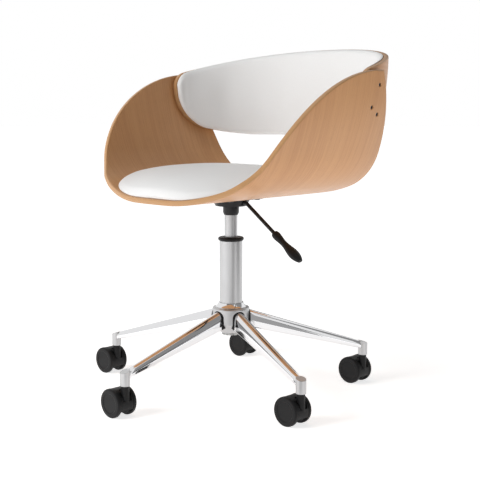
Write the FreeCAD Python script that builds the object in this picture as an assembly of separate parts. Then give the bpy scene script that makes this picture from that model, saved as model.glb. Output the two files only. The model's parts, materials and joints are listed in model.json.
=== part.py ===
"""Swivel chair with a bent-ply bucket seat on a five-star castor base.

Millimetres, +Z up, the sitter faces -Y. The origin is on the floor, on the axis of the column.
Every piece is written to its own STEP file in parts/.
"""
import FreeCAD
import Part
import math
import os

V = FreeCAD.Vector
ORIGIN = V(0, 0, 0)
X_AXIS = V(1, 0, 0)
Y_AXIS = V(0, 1, 0)
UP = V(0, 0, 1)

# Clearances shared by all pieces
RUNNING_FIT = 0.05
SEAT_FIT = 0.02
SOFT_GAP = 0.5
PLY_GAP = 0.4
PLATE_GAP = 0.2
SAME_POINT = 1e-6

# Castors: twin wheels under a hood, trailing behind a grip stem
CASTOR_COUNT = 5
WHEEL_DIA = 60.0
WHEEL_FLANGE = 8.5
WHEEL_EDGE = 3.5
WHEEL_STEP = 5.0
WHEEL_DISH = 0.8
WHEEL_DISH_RIM = 6.0
WHEEL_GAP = 0.8
CASTOR_WIDTH = 48.0
CASTOR_TRAIL = 21.0
HOOD_WEB = 13.4
HOOD_WALL = 3.6
HOOD_INSET = 0.6
HOOD_EDGE_HEIGHT = 17.0
HOOD_BOSS_DIA = 17.0
HOOD_RECESS_DIA = 26.0
HOOD_RECESS_DEPTH = 2.4
HOOD_RECESS_FLOOR = 36.0
AXLE_DIA = 6.0
AXLE_LENGTH = 40.0
AXLE_END_GAP = 0.6
STEM_DIA = 11.0
STEM_IN_SOCKET = 22.0
STEM_IN_HOOD = 26.0
STEM_CHAMFER = 1.5
SWIVEL_GAP = 0.4

# Base: hub, pressed legs and the castor sockets at their tips
SOCKET_RADIUS = 300.0
SOCKET_DIA = 21.0
SOCKET_ABOVE_WHEEL = 7.0
SOCKET_TOP_MARGIN = 2.0
LEG_ROOT_RADIUS = 28.0
LEG_ROOT_WIDTH = 28.0
LEG_ROOT_TOP = 183.0
LEG_ROOT_SIDE = 24.0
LEG_TIP_WIDTH = 18.5
LEG_TIP_SIDE = 4.5
LEG_TIP_RISE = 30.0
LEG_WALL = 2.5
LEG_SOCKET_GAP = 1.2
HUB_BASE = 131.0
HUB_LIP = 6.0
HUB_LIP_DIA = 38.0
HUB_FOOT_DIA = 47.0
HUB_WAIST_DIA = 64.0
HUB_WAIST_HEIGHT = 9.0
HUB_DIA = 81.0
HUB_SKIRT_DIA = 79.0
HUB_SKIRT_HEIGHT = 20.0
HUB_SHOULDER_HEIGHT = 55.5
HUB_SHOULDER_ROUND = 4.0
HUB_SHOULDER_RISE = 1.0
HUB_NECK_DIA = 60.0
HUB_COLLAR_DIA = 54.0
HUB_COLLAR_HEIGHT = 9.5
CAP_DIA = 40.0
CAP_BORE_DIA = 24.0
CAP_HEIGHT = 6.0
CAP_NOTCHES = 12
CAP_NOTCH_WIDTH = 4.0
CAP_NOTCH_DEPTH = 1.6

# Gas lift
COLUMN_DIA = 50.0
COLUMN_WALL = 2.0
COLUMN_LENGTH = 195.0
COLUMN_FLOOR = 4.0
RING_DIA = 56.0
RING_HEIGHT = 8.0
RING_ROUND = 3.6
BUSH_LENGTH = 80.0
TUBE_DIA = 28.0
TUBE_WALL = 1.5
TUBE_SHOWN = 48.0
TUBE_BELOW_RING = 135.0
TUBE_HEAD = 8.0
SEAL_LENGTH = 10.0
ROD_DIA = 10.0
ROD_PIN_DIA = 8.0
ROD_SHOULDER_DIA = 20.0
ROD_SHOULDER_HEIGHT = 4.0
BEARING_DIA = 26.0
BEARING_HEIGHT = 5.0
CLIP_DIA = 17.0
CLIP_HEIGHT = 2.0
CLIP_DROP = 0.5
ROD_TAIL = 2.0
PISTON_ABOVE_SEAL = 61.0
PISTON_HEIGHT = 12.0
BUTTON_DIA = 8.0
BUTTON_TIP_DIA = 5.0
BUTTON_LENGTH = 10.0
BUTTON_TIP = 1.5
BUTTON_GAP = 0.6

# Seat plate, its taper socket and the height lever
TAPER_SOCKET_DIA = 35.0
TAPER_SOCKET_FOOT_DIA = 30.5
TAPER_SOCKET_HEIGHT = 20.0
TAPER_SOCKET_CHAMFER = 6.0
PLATE_SIZE = 106.0
PLATE_THICKNESS = 3.0
PLATE_CORNER = 14.0
PAN_DEPTH = 18.0
PAN_HOLE_DIA = 24.0
PAN_FLOOR_DIA = 68.0
PAN_MOUTH_DIA = 84.0
BOLT_SPACING = 80.0
BOLT_DIA = 6.0
BOLT_HEAD_DIA = 12.0
BOLT_HEAD_HEIGHT = 2.5
TEE_NUT_DIA = 8.5
TEE_NUT_FLANGE_DIA = 18.0
TEE_NUT_FLANGE = 1.4
LEVER_ROD_DIA = 8.0
LEVER_DROP = 9.5
LEVER_INNER_END = -7.0
LEVER_PIVOT_X = 24.0
LEVER_PIN_DIA = 3.0
LEVER_EAR = 2.0
LEVER_EAR_WIDTH = 10.0
LEVER_SIDE_GAP = 1.0
LEVER_BEND_X = 46.0
LEVER_BEND_RADIUS = 11.0
LEVER_SLOPE = 35.2
LEVER_ROD_REACH = 100.5
LEVER_SLOT_GAP = 1.5
GRIP_LENGTH = 88.0
GRIP_BORE_DEPTH = 40.0
GRIP_NECK_LENGTH = 24.0
GRIP_NECK_WIDE = 14.4
GRIP_NECK_THICK = 14.2
GRIP_WAIST_AT = 36.0
GRIP_WAIST_WIDE = 14.6
GRIP_WAIST_THICK = 13.4
GRIP_PADDLE_AT = 62.0
GRIP_PADDLE_WIDE = 25.2
GRIP_PADDLE_THICK = 18.8
GRIP_END_AT = 79.0
GRIP_END_WIDE = 21.2
GRIP_END_THICK = 15.0
GRIP_TIP_WIDE = 12.0
GRIP_TIP_THICK = 8.0

# Seat shell: heights are above its underside
PLY = 11.0
SEAT_FLAT = 45.0
DISH_RADIUS = 378.0
DISH_ANGLE = 19.0
DISH_STEPS = 3
CORNER_RADIUS = 139.0
CORNER_ANGLE = 66.0
CORNER_STEPS = 5
WALL_RADIUS = 485.0
WALL_ANGLE = 88.0
WALL_STEPS = 4
PLAN_CENTRE_Y = 85.0
PLAN_POWER = 2.2
SHELL_PLAN_DEPTH = 345.0
SEAT_FRONT = -230.0
SEAT_FRONT_RADIUS = 460.0
SEAT_REAR = 207.0
WING_TOE_Y = -241.0
WING_TOE_HEIGHT = 6.0
WING_SWEEP_Y = -187.0
WING_SWEEP_HEIGHT = 41.0
WING_ARCH_RADIUS = 325.0
WING_ARCH_Y = 140.0
WING_ARCH_HEIGHT = 269.0
WING_ARCH_END = 156.5
WING_REAR_Y = 146.0
WING_REAR_SIDE_Y = 190.0
WING_REAR_SIDE_HEIGHT = 134.0

# Backrest: a ply band held inside the wings, heights above the seat's underside
BACK_STEPS = 16
BACK_DEPTH = 248.0
BACK_DEPTH_HEIGHT = 309.0
BACK_LEAN = 3.0
BACK_TOP_HEIGHT = 328.0
BACK_TOP_Y = 345.0
BACK_NOSE_TOP_Y = 115.0
BACK_NOSE_TOP_HEIGHT = 273.0
BACK_NOSE_Y = 86.0
BACK_NOSE_HEIGHT = 222.0
BACK_CHIN_Y = 100.0
BACK_CHIN_HEIGHT = 180.0
BACK_JAW_Y = 165.0
BACK_JAW_HEIGHT = 140.5
BACK_LOW_Y = 250.0
BACK_LOW_HEIGHT = 125.5
SCREW_SPOTS = ((134.0, 239.0), (117.0, 194.0), (141.0, 180.0))
SCREW_DIA = 4.0
SCREW_HEAD_DIA = 8.0
SCREW_HEAD_HEIGHT = 2.4
SCREW_SUNK = 0.8
SCREW_LENGTH = 17.0

# Pads
SEAT_PAD_WIDTH = 406.0
SEAT_PAD_FRONT = -222.0
SEAT_PAD_REAR = 198.0
SEAT_PAD_FRONT_POWER = 3.0
SEAT_PAD_REAR_POWER = 5.0
SEAT_PAD_CROWN = 58.0
SEAT_PAD_EDGE = 9.0
SEAT_PAD_DRAW_IN = 3.0
SEAT_PAD_FLAT = 36.0
SEAT_PAD_SHARES = (-0.97, -0.88, -0.72, -0.5, -0.2, 0.2, 0.5, 0.72, 0.88, 0.97)
BACK_PAD_INSET = 2.5
BACK_PAD_NOSE_INSET = 6.0
BACK_PAD_CROWN = 22.0
BACK_PAD_EDGE = 6.0
BACK_PAD_END_SHARE = 0.4
BACK_PAD_POWER = 3.0
BACK_PAD_SHARES = (-1.0, -0.82, -0.5, 0.0, 0.5, 0.82, 1.0)

# Heights that follow from the sizes above
AXLE_HEIGHT = WHEEL_DIA / 2
SOCKET_BOTTOM = WHEEL_DIA + SOCKET_ABOVE_WHEEL
COLUMN_BOTTOM = HUB_BASE + HUB_LIP
COLUMN_TOP = COLUMN_BOTTOM + COLUMN_LENGTH
RING_TOP = COLUMN_TOP + RING_HEIGHT
TAPER_SOCKET_BOTTOM = RING_TOP + TUBE_SHOWN
PAN_BOTTOM = TAPER_SOCKET_BOTTOM + TAPER_SOCKET_HEIGHT
PLATE_TOP = PAN_BOTTOM + PAN_DEPTH
SEAT_BOTTOM = PLATE_TOP + PLATE_GAP
LEVER_HEIGHT = PLATE_TOP - LEVER_DROP
TUBE_BOTTOM = RING_TOP - TUBE_BELOW_RING
BUTTON_TOP = LEVER_HEIGHT - LEVER_ROD_DIA / 2 - BUTTON_GAP
TUBE_TOP = PAN_BOTTOM
BEARING_BOTTOM = COLUMN_BOTTOM + COLUMN_FLOOR
ROD_SHOULDER = BEARING_BOTTOM + BEARING_HEIGHT
PISTON_BOTTOM = TUBE_BOTTOM + SEAL_LENGTH + PISTON_ABOVE_SEAL


# Shared shape makers

def closed_wire(start, *steps):
    """Closed wire from start; a step of one point is a line, a step of two is an arc through the first."""
    edges = []
    here = start
    for step in steps + ((start,),):
        end = step[-1]
        if len(step) == 2:
            edges.append(Part.Arc(here, step[0], end).toShape())
        elif (end - here).Length > SAME_POINT:
            edges.append(Part.makeLine(here, end))
        here = end
    return Part.Wire(edges)


def revolved(start, *steps):
    """Solid of revolution about Z from a closed (radius, height) outline."""
    lifted = [tuple(V(r, 0, z) for r, z in step) for step in steps]
    return Part.Face(closed_wire(V(start[0], 0, start[1]), *lifted)).revolve(ORIGIN, UP, 360)


def ring(outer, inner, bottom, height):
    """Plain ring about Z."""
    blank = Part.makeCylinder(outer, height, V(0, 0, bottom))
    return blank.cut(Part.makeCylinder(inner, height, V(0, 0, bottom)))


def cross_cylinder(radius, length, centre):
    """Cylinder along Y, centred on a point."""
    return Part.makeCylinder(radius, length, centre - Y_AXIS * (length / 2), Y_AXIS)


def centred_box(size_x, size_y, bottom, height, centre_x=0.0):
    """Box centred on (centre_x, 0), standing on a height."""
    return Part.makeBox(size_x, size_y, height, V(centre_x - size_x / 2, -size_y / 2, bottom))


def prism(push, *corners):
    """Flat outline pushed along a direction."""
    return Part.Face(Part.makePolygon([*corners, corners[0]])).extrude(push)


def side_prism(reach, start, *steps):
    """Outline in the YZ plane pushed out to both sides along X."""
    lifted = [tuple(V(-reach, y, z) for y, z in step) for step in steps]
    face = Part.Face(closed_wire(V(-reach, start[0], start[1]), *lifted))
    return face.extrude(V(2 * reach, 0, 0))


def spline(points, marks):
    """Smooth edge through the points, each at its own mark along the edge."""
    curve = Part.BSplineCurve()
    curve.interpolate(Points=points, Parameters=marks)
    return curve.toShape()


def turned(shape, degrees, offset=ORIGIN):
    """Copy of a shape moved by offset, then turned about Z."""
    copy = shape.copy()
    copy.translate(offset)
    copy.rotate(ORIGIN, UP, degrees)
    return copy


# Castors, drawn with the stem on the Z axis and the wheels trailing to -X

AXLE_CENTRE = V(-CASTOR_TRAIL, 0, AXLE_HEIGHT)


def castor_wheel(side):
    """Wheel at the +Y or -Y end of the axle: a flange on the floor and a smaller barrel under the hood."""
    rim = WHEEL_DIA / 2
    barrel = rim - WHEEL_STEP
    bore = AXLE_DIA / 2 + RUNNING_FIT
    bore_end = AXLE_LENGTH / 2 + AXLE_END_GAP
    inner = HOOD_WEB / 2 + WHEEL_GAP
    outer = CASTOR_WIDTH / 2
    flange = outer - WHEEL_FLANGE
    bulge = WHEEL_EDGE * (1 - math.sqrt(0.5))
    dish = rim - WHEEL_EDGE - WHEEL_DISH_RIM
    wheel = revolved(
        (bore, inner),
        ((barrel, inner),),
        ((barrel, flange),),
        ((rim, flange),),
        ((rim, outer - WHEEL_EDGE),),
        ((rim - bulge, outer - bulge), (rim - WHEEL_EDGE, outer)),
        ((dish, outer),),
        ((dish - WHEEL_DISH, outer - WHEEL_DISH),),
        ((0, outer - WHEEL_DISH),),
        ((0, bore_end),),
        ((bore, bore_end),),
    )
    wheel.rotate(ORIGIN, X_AXIS, -90 * side)
    wheel.translate(AXLE_CENTRE)
    return wheel


def castor_hood():
    """Drum over the wheels with a middle web, an open underside and a recessed boss for the stem."""
    outer = WHEEL_DIA / 2 - HOOD_INSET
    drum_length = CASTOR_WIDTH - 2 * (WHEEL_FLANGE + WHEEL_GAP)
    boss_top = SOCKET_BOTTOM - SWIVEL_GAP
    recess = Part.makeCylinder(HOOD_RECESS_DIA / 2, boss_top, V(0, 0, HOOD_RECESS_FLOOR))
    recess = recess.cut(cross_cylinder(outer - HOOD_RECESS_DEPTH, drum_length, AXLE_CENTRE))
    boss = Part.makeCylinder(HOOD_BOSS_DIA / 2, boss_top - AXLE_HEIGHT, V(0, 0, AXLE_HEIGHT))
    hood = cross_cylinder(outer, drum_length, AXLE_CENTRE).cut(recess).fuse(boss)
    cavity_length = drum_length / 2 - HOOD_WEB / 2
    for side in (1, -1):
        start = AXLE_CENTRE + Y_AXIS * (side * HOOD_WEB / 2)
        hood = hood.cut(Part.makeCylinder(outer - HOOD_WALL, cavity_length, start, Y_AXIS * side))
    hood = hood.cut(centred_box(2 * WHEEL_DIA, CASTOR_WIDTH, 0, HOOD_EDGE_HEIGHT, -CASTOR_TRAIL))
    hood = hood.cut(cross_cylinder(AXLE_DIA / 2 + SEAT_FIT, HOOD_WEB, AXLE_CENTRE))
    stem_bore = STEM_DIA / 2 + SEAT_FIT
    hood = hood.cut(Part.makeCylinder(stem_bore, STEM_IN_HOOD, V(0, 0, boss_top - STEM_IN_HOOD)))
    return hood.removeSplitter()


def castor_axle():
    """Steel pin through the hood's web, ending inside both wheels."""
    return cross_cylinder(AXLE_DIA / 2, AXLE_LENGTH, AXLE_CENTRE)


def castor_stem():
    """Grip stem, seated in the hood and turning in the leg's socket."""
    radius = STEM_DIA / 2
    bottom = SOCKET_BOTTOM - SWIVEL_GAP - STEM_IN_HOOD
    top = SOCKET_BOTTOM + STEM_IN_SOCKET
    return revolved(
        (0, bottom),
        ((radius, bottom),),
        ((radius, top - STEM_CHAMFER),),
        ((radius - STEM_CHAMFER, top),),
        ((0, top),),
    )


# Base, with each leg drawn along +X

LEG_RUN = SOCKET_RADIUS - LEG_ROOT_RADIUS
LEG_TIP_TOP = SOCKET_BOTTOM + LEG_TIP_RISE
LEG_ROOT_SPRING = LEG_ROOT_TOP - LEG_ROOT_WIDTH / 2
LEG_TIP_SPRING = LEG_TIP_TOP - LEG_TIP_WIDTH / 2
LEG_ANGLE = math.degrees(math.atan2(LEG_ROOT_SPRING - LEG_TIP_SPRING, LEG_RUN))
LEG_FALL = (LEG_ROOT_TOP - LEG_TIP_TOP) / LEG_RUN


def leg_form(grow):
    """Tapered arch from hub to tip: a half cone on flat sides, grown all round, squared off at the root."""
    start = -LEG_ROOT_WIDTH
    end = math.hypot(LEG_RUN, LEG_ROOT_SPRING - LEG_TIP_SPRING)
    root_half = LEG_ROOT_WIDTH / 2 + grow
    tip_half = LEG_TIP_WIDTH / 2 + grow
    root_side = LEG_ROOT_SIDE + abs(grow)
    tip_side = LEG_TIP_SIDE + abs(grow)
    plan = prism(
        UP * (-2 * root_side),
        V(start, -root_half, 0),
        V(end, -tip_half, 0),
        V(end, tip_half, 0),
        V(start, root_half, 0),
    )
    side = prism(
        Y_AXIS * (4 * root_half),
        V(start, -2 * root_half, 0),
        V(end, -2 * root_half, 0),
        V(end, -2 * root_half, -tip_side),
        V(start, -2 * root_half, -root_side),
    )
    roof = Part.makeCone(root_half, tip_half, end - start, V(start, 0, 0), X_AXIS)
    roof = roof.common(centred_box(2 * (end - start), 4 * root_half, 0, 2 * root_half))
    form = plan.common(side).fuse(roof).removeSplitter()
    form.rotate(ORIGIN, Y_AXIS, LEG_ANGLE)
    form.translate(V(LEG_ROOT_RADIUS, 0, LEG_ROOT_SPRING))
    outside = centred_box(2 * LEG_RUN, LEG_RUN, 0, 2 * LEG_ROOT_TOP, LEG_ROOT_RADIUS + LEG_RUN)
    return form.common(outside)


def leg():
    """Pressed steel leg: an open-bottomed arch, coped to the castor socket."""
    channel = leg_form(0).cut(leg_form(-LEG_WALL))
    tip_cut = Part.makeCylinder(SOCKET_DIA / 2, LEG_ROOT_TOP, V(SOCKET_RADIUS, 0, 0))
    return max(channel.cut(tip_cut).Solids, key=lambda solid: solid.Volume)


def castor_socket():
    """Upright tube at the leg's tip, cut off along the slope of the leg's roof."""
    height = LEG_TIP_RISE + SOCKET_DIA
    blank = Part.makeCylinder(SOCKET_DIA / 2, height, V(SOCKET_RADIUS, 0, SOCKET_BOTTOM))
    near = SOCKET_RADIUS - SOCKET_DIA
    far = SOCKET_RADIUS + SOCKET_DIA
    roof_near = LEG_TIP_TOP + LEG_FALL * SOCKET_DIA
    roof_far = LEG_TIP_TOP - LEG_FALL * SOCKET_DIA
    above = roof_near + height
    waste = prism(
        Y_AXIS * (2 * SOCKET_DIA),
        V(near, -SOCKET_DIA, roof_near),
        V(far, -SOCKET_DIA, roof_far),
        V(far, -SOCKET_DIA, above),
        V(near, -SOCKET_DIA, above),
    )
    bore_depth = STEM_IN_SOCKET + SOCKET_TOP_MARGIN
    bore = Part.makeCylinder(STEM_DIA / 2 + RUNNING_FIT, bore_depth, V(SOCKET_RADIUS, 0, SOCKET_BOTTOM))
    return blank.cut(waste).cut(bore)


def leg_angle(index):
    """Direction of a leg; the first points to the front."""
    return 270.0 + index * 360.0 / CASTOR_COUNT


def hub():
    """Cast hub with a flared collar, a lip under the column and an arched mouth for each leg."""
    shoulder = HUB_BASE + HUB_SHOULDER_HEIGHT
    skirt = HUB_BASE + HUB_SKIRT_HEIGHT
    waist = HUB_BASE + HUB_WAIST_HEIGHT
    half = HUB_DIA / 2
    bulge = HUB_SHOULDER_ROUND * (1 - math.sqrt(0.5))
    bore = COLUMN_DIA / 2 + SEAT_FIT
    collar_top = shoulder + HUB_COLLAR_HEIGHT
    body = revolved(
        (HUB_LIP_DIA / 2, HUB_BASE),
        ((HUB_FOOT_DIA / 2, HUB_BASE),),
        ((HUB_WAIST_DIA / 2, waist),),
        ((HUB_SKIRT_DIA / 2, skirt),),
        ((half, shoulder - HUB_SHOULDER_ROUND),),
        ((half - bulge, shoulder - bulge), (half - HUB_SHOULDER_ROUND, shoulder)),
        ((HUB_NECK_DIA / 2, shoulder + HUB_SHOULDER_RISE),),
        ((HUB_COLLAR_DIA / 2, collar_top),),
        ((bore, collar_top),),
        ((bore, COLUMN_BOTTOM),),
        ((HUB_LIP_DIA / 2, COLUMN_BOTTOM),),
    )
    mouth = leg_form(LEG_SOCKET_GAP)
    for index in range(CASTOR_COUNT):
        body = body.cut(turned(mouth, leg_angle(index)))
    return body


def hub_cap():
    """Notched retaining ring pressed under the hub."""
    bottom = HUB_BASE - CAP_HEIGHT
    body = ring(CAP_DIA / 2, CAP_BORE_DIA / 2, bottom, CAP_HEIGHT)
    notch = centred_box(2 * CAP_NOTCH_DEPTH, CAP_NOTCH_WIDTH, bottom, CAP_HEIGHT / 2, CAP_DIA / 2)
    for index in range(CAP_NOTCHES):
        body = body.cut(turned(notch, index * 360.0 / CAP_NOTCHES))
    return body


# Gas lift

def column_tube():
    """Outer tube with a floor that carries the thrust bearing."""
    inner = COLUMN_DIA / 2 - COLUMN_WALL
    body = Part.makeCylinder(COLUMN_DIA / 2, COLUMN_LENGTH, V(0, 0, COLUMN_BOTTOM))
    body = body.cut(Part.makeCylinder(inner, COLUMN_LENGTH - COLUMN_FLOOR, V(0, 0, BEARING_BOTTOM)))
    hole = ROD_PIN_DIA / 2 + RUNNING_FIT
    return body.cut(Part.makeCylinder(hole, COLUMN_FLOOR, V(0, 0, COLUMN_BOTTOM)))


def column_ring():
    """Rounded trim ring that closes the top of the outer tube."""
    half = RING_DIA / 2
    bore = TUBE_DIA / 2 + PLY_GAP
    bulge = RING_ROUND * (1 - math.sqrt(0.5))
    return revolved(
        (bore, COLUMN_TOP),
        ((half - RING_ROUND, COLUMN_TOP),),
        ((half - bulge, COLUMN_TOP + bulge), (half, COLUMN_TOP + RING_ROUND)),
        ((half, RING_TOP - RING_ROUND),),
        ((half - bulge, RING_TOP - bulge), (half - RING_ROUND, RING_TOP)),
        ((bore, RING_TOP),),
    )


def guide_bush():
    """Long sleeve in the outer tube that guides the sliding tube."""
    outer = COLUMN_DIA / 2 - COLUMN_WALL - SEAT_FIT
    return ring(outer, TUBE_DIA / 2 + RUNNING_FIT, COLUMN_TOP - BUSH_LENGTH, BUSH_LENGTH)


def thrust_bearing():
    """Thrust bearing between the column floor and the rod's shoulder."""
    return ring(BEARING_DIA / 2, ROD_PIN_DIA / 2 + RUNNING_FIT, BEARING_BOTTOM, BEARING_HEIGHT)


def piston_rod():
    """Rod that stands on the bearing and reaches up into the sliding tube."""
    pin = ROD_PIN_DIA / 2
    shoulder_top = ROD_SHOULDER + ROD_SHOULDER_HEIGHT
    tail = COLUMN_BOTTOM - CLIP_DROP - CLIP_HEIGHT - ROD_TAIL
    top = PISTON_BOTTOM + PISTON_HEIGHT
    return revolved(
        (0, tail),
        ((pin, tail),),
        ((pin, ROD_SHOULDER),),
        ((ROD_SHOULDER_DIA / 2, ROD_SHOULDER),),
        ((ROD_SHOULDER_DIA / 2, shoulder_top),),
        ((ROD_DIA / 2, shoulder_top),),
        ((ROD_DIA / 2, PISTON_BOTTOM),),
        ((pin, PISTON_BOTTOM),),
        ((pin, top),),
        ((0, top),),
    )


def piston_head():
    """Piston on the top of the rod."""
    outer = TUBE_DIA / 2 - TUBE_WALL - RUNNING_FIT
    return ring(outer, ROD_PIN_DIA / 2 + SEAT_FIT, PISTON_BOTTOM, PISTON_HEIGHT)


def retaining_clip():
    """Clip on the rod's tail, under the column floor."""
    bottom = COLUMN_BOTTOM - CLIP_DROP - CLIP_HEIGHT
    return ring(CLIP_DIA / 2, ROD_PIN_DIA / 2 + SEAT_FIT, bottom, CLIP_HEIGHT)


def pressure_tube():
    """Sliding tube of the lift, with a thick head that guides the release button."""
    body = Part.makeCylinder(TUBE_DIA / 2, TUBE_TOP - TUBE_BOTTOM, V(0, 0, TUBE_BOTTOM))
    inner_height = TUBE_TOP - TUBE_HEAD - TUBE_BOTTOM
    body = body.cut(Part.makeCylinder(TUBE_DIA / 2 - TUBE_WALL, inner_height, V(0, 0, TUBE_BOTTOM)))
    bore = BUTTON_DIA / 2 + RUNNING_FIT
    return body.cut(Part.makeCylinder(bore, TUBE_HEAD, V(0, 0, TUBE_TOP - TUBE_HEAD)))


def tube_seal():
    """Seal in the lower end of the sliding tube, round the rod."""
    outer = TUBE_DIA / 2 - TUBE_WALL - SEAT_FIT
    return ring(outer, ROD_DIA / 2 + RUNNING_FIT, TUBE_BOTTOM, SEAL_LENGTH)


def release_button():
    """Valve button in the head of the tube, under the lever's inner end."""
    bottom = BUTTON_TOP - BUTTON_LENGTH
    return revolved(
        (0, bottom),
        ((BUTTON_DIA / 2, bottom),),
        ((BUTTON_DIA / 2, BUTTON_TOP - BUTTON_TIP),),
        ((BUTTON_TIP_DIA / 2, BUTTON_TOP),),
        ((0, BUTTON_TOP),),
    )


# Seat plate and lever

LEVER_PIVOT = V(LEVER_PIVOT_X, 0, LEVER_HEIGHT)


def taper_socket():
    """Sleeve under the plate that grips the top of the sliding tube."""
    foot = TAPER_SOCKET_FOOT_DIA / 2
    wide = TAPER_SOCKET_DIA / 2
    bore = TUBE_DIA / 2 + SEAT_FIT
    chamfer_top = TAPER_SOCKET_BOTTOM + TAPER_SOCKET_CHAMFER
    return revolved(
        (bore, TAPER_SOCKET_BOTTOM),
        ((foot, TAPER_SOCKET_BOTTOM),),
        ((wide, chamfer_top),),
        ((wide, PAN_BOTTOM),),
        ((bore, PAN_BOTTOM),),
    )


def bolt_places():
    """Corners of the square bolt pattern."""
    half = BOLT_SPACING / 2
    return [(x, y) for x in (-half, half) for y in (-half, half)]


def seat_plate():
    """Pressed plate: a square flange under the seat with a round pan for the lever's inner end."""
    flange_bottom = PLATE_TOP - PLATE_THICKNESS
    floor_top = PAN_BOTTOM + PLATE_THICKNESS
    mouth = PAN_MOUTH_DIA / 2
    floor = PAN_FLOOR_DIA / 2
    hole = PAN_HOLE_DIA / 2
    pan = revolved(
        (hole, PAN_BOTTOM),
        ((floor, PAN_BOTTOM),),
        ((mouth, flange_bottom),),
        ((mouth + PLATE_THICKNESS, flange_bottom),),
        ((mouth + PLATE_THICKNESS, PLATE_TOP),),
        ((mouth - PLATE_THICKNESS / 2, PLATE_TOP),),
        ((floor - PLATE_THICKNESS / 2, floor_top),),
        ((hole, floor_top),),
    )
    flange = centred_box(PLATE_SIZE, PLATE_SIZE, flange_bottom, PLATE_THICKNESS)
    uprights = [edge for edge in flange.Edges if abs(edge.tangentAt(edge.FirstParameter).z) > 0.9]
    flange = flange.makeFillet(PLATE_CORNER, uprights)
    flange = flange.cut(Part.makeCylinder(mouth, PLATE_THICKNESS, V(0, 0, flange_bottom)))
    plate = pan.fuse(flange)
    slot_width = LEVER_ROD_DIA + 2 * LEVER_SLOT_GAP
    slot_bottom = LEVER_HEIGHT - LEVER_ROD_DIA / 2 - LEVER_SLOT_GAP / 2
    slot_length = PLATE_SIZE / 2 - LEVER_PIVOT_X
    slot_x = LEVER_PIVOT_X + slot_length / 2 + LEVER_SLOT_GAP / 2
    slot = centred_box(slot_length + LEVER_SLOT_GAP, slot_width, slot_bottom, PAN_DEPTH, slot_x)
    plate = plate.cut(slot)
    ear_height = LEVER_HEIGHT + LEVER_EAR_WIDTH / 2 - floor_top
    for side in (1, -1):
        ear = Part.makeBox(LEVER_EAR_WIDTH, LEVER_EAR, ear_height)
        inner = LEVER_ROD_DIA / 2 + LEVER_SIDE_GAP
        ear_y = inner if side > 0 else -inner - LEVER_EAR
        ear.translate(V(LEVER_PIVOT_X - LEVER_EAR_WIDTH / 2, ear_y, floor_top))
        plate = plate.fuse(ear)
    pin_length = LEVER_ROD_DIA + 2 * (LEVER_SIDE_GAP + LEVER_EAR)
    plate = plate.cut(cross_cylinder(LEVER_PIN_DIA / 2 + SEAT_FIT, pin_length, LEVER_PIVOT))
    for x, y in bolt_places():
        radius = BOLT_DIA / 2 + PLY_GAP
        plate = plate.cut(Part.makeCylinder(radius, PLATE_THICKNESS, V(x, y, flange_bottom)))
    return plate.removeSplitter()


def lever_pin():
    """Pivot pin between the ears of the pan."""
    return cross_cylinder(LEVER_PIN_DIA / 2, LEVER_ROD_DIA + 2 * (LEVER_SIDE_GAP + LEVER_EAR), LEVER_PIVOT)


def lever_direction():
    """Unit direction of the lever's sloping arm."""
    slope = math.radians(LEVER_SLOPE)
    return V(math.cos(slope), 0, -math.sin(slope))


def lever_corner():
    """Point where the level and sloping runs of the lever would meet."""
    return V(LEVER_BEND_X, 0, LEVER_HEIGHT)


def lever_rod():
    """Bent rod: level over the button, then sloping down to the grip."""
    along = lever_direction()
    tangent = LEVER_BEND_RADIUS * math.tan(math.radians(LEVER_SLOPE) / 2)
    corner = lever_corner()
    start = V(LEVER_INNER_END, 0, LEVER_HEIGHT)
    bend_in = corner - X_AXIS * tangent
    bend_out = corner + along * tangent
    half_slope = math.radians(LEVER_SLOPE) / 2
    centre = bend_in - UP * LEVER_BEND_RADIUS
    middle = centre + V(math.sin(half_slope), 0, math.cos(half_slope)) * LEVER_BEND_RADIUS
    end = corner + along * (LEVER_ROD_REACH + GRIP_BORE_DEPTH)
    path = Part.Wire([
        Part.makeLine(start, bend_in),
        Part.Arc(bend_in, middle, bend_out).toShape(),
        Part.makeLine(bend_out, end),
    ])
    circle = Part.Wire(Part.makeCircle(LEVER_ROD_DIA / 2, start, X_AXIS))
    rod = path.makePipeShell([circle], True, False)
    return rod.cut(cross_cylinder(LEVER_PIN_DIA / 2 + RUNNING_FIT, 2 * LEVER_ROD_DIA, LEVER_PIVOT))


def lever_grip():
    """Moulded grip: a round neck that narrows, then swells to a flat paddle."""
    along = lever_direction()
    start = lever_corner() + along * LEVER_ROD_REACH
    stations = (
        (0.0, GRIP_NECK_WIDE, GRIP_NECK_THICK),
        (GRIP_NECK_LENGTH, GRIP_NECK_WIDE, GRIP_NECK_THICK),
        (GRIP_WAIST_AT, GRIP_WAIST_WIDE, GRIP_WAIST_THICK),
        (GRIP_PADDLE_AT, GRIP_PADDLE_WIDE, GRIP_PADDLE_THICK),
        (GRIP_END_AT, GRIP_END_WIDE, GRIP_END_THICK),
        (GRIP_LENGTH, GRIP_TIP_WIDE, GRIP_TIP_THICK),
    )
    sections = []
    for distance, wide, thick in stations:
        oval = Part.Ellipse(ORIGIN, wide / 2, thick / 2).toShape()
        frame = FreeCAD.Matrix(
            0, Y_AXIS.cross(along).x, along.x, 0,
            1, Y_AXIS.cross(along).y, along.y, 0,
            0, Y_AXIS.cross(along).z, along.z, 0,
        )
        frame.move(start + along * distance)
        oval.transformShape(frame)
        sections.append(Part.Wire(oval))
    grip = Part.makeLoft(sections, True, False)
    return grip.cut(Part.makeCylinder(LEVER_ROD_DIA / 2 + SEAT_FIT, GRIP_BORE_DEPTH, start, along))


# Bent ply, drawn with the shell's underside at height 0 and lifted at the end

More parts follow.
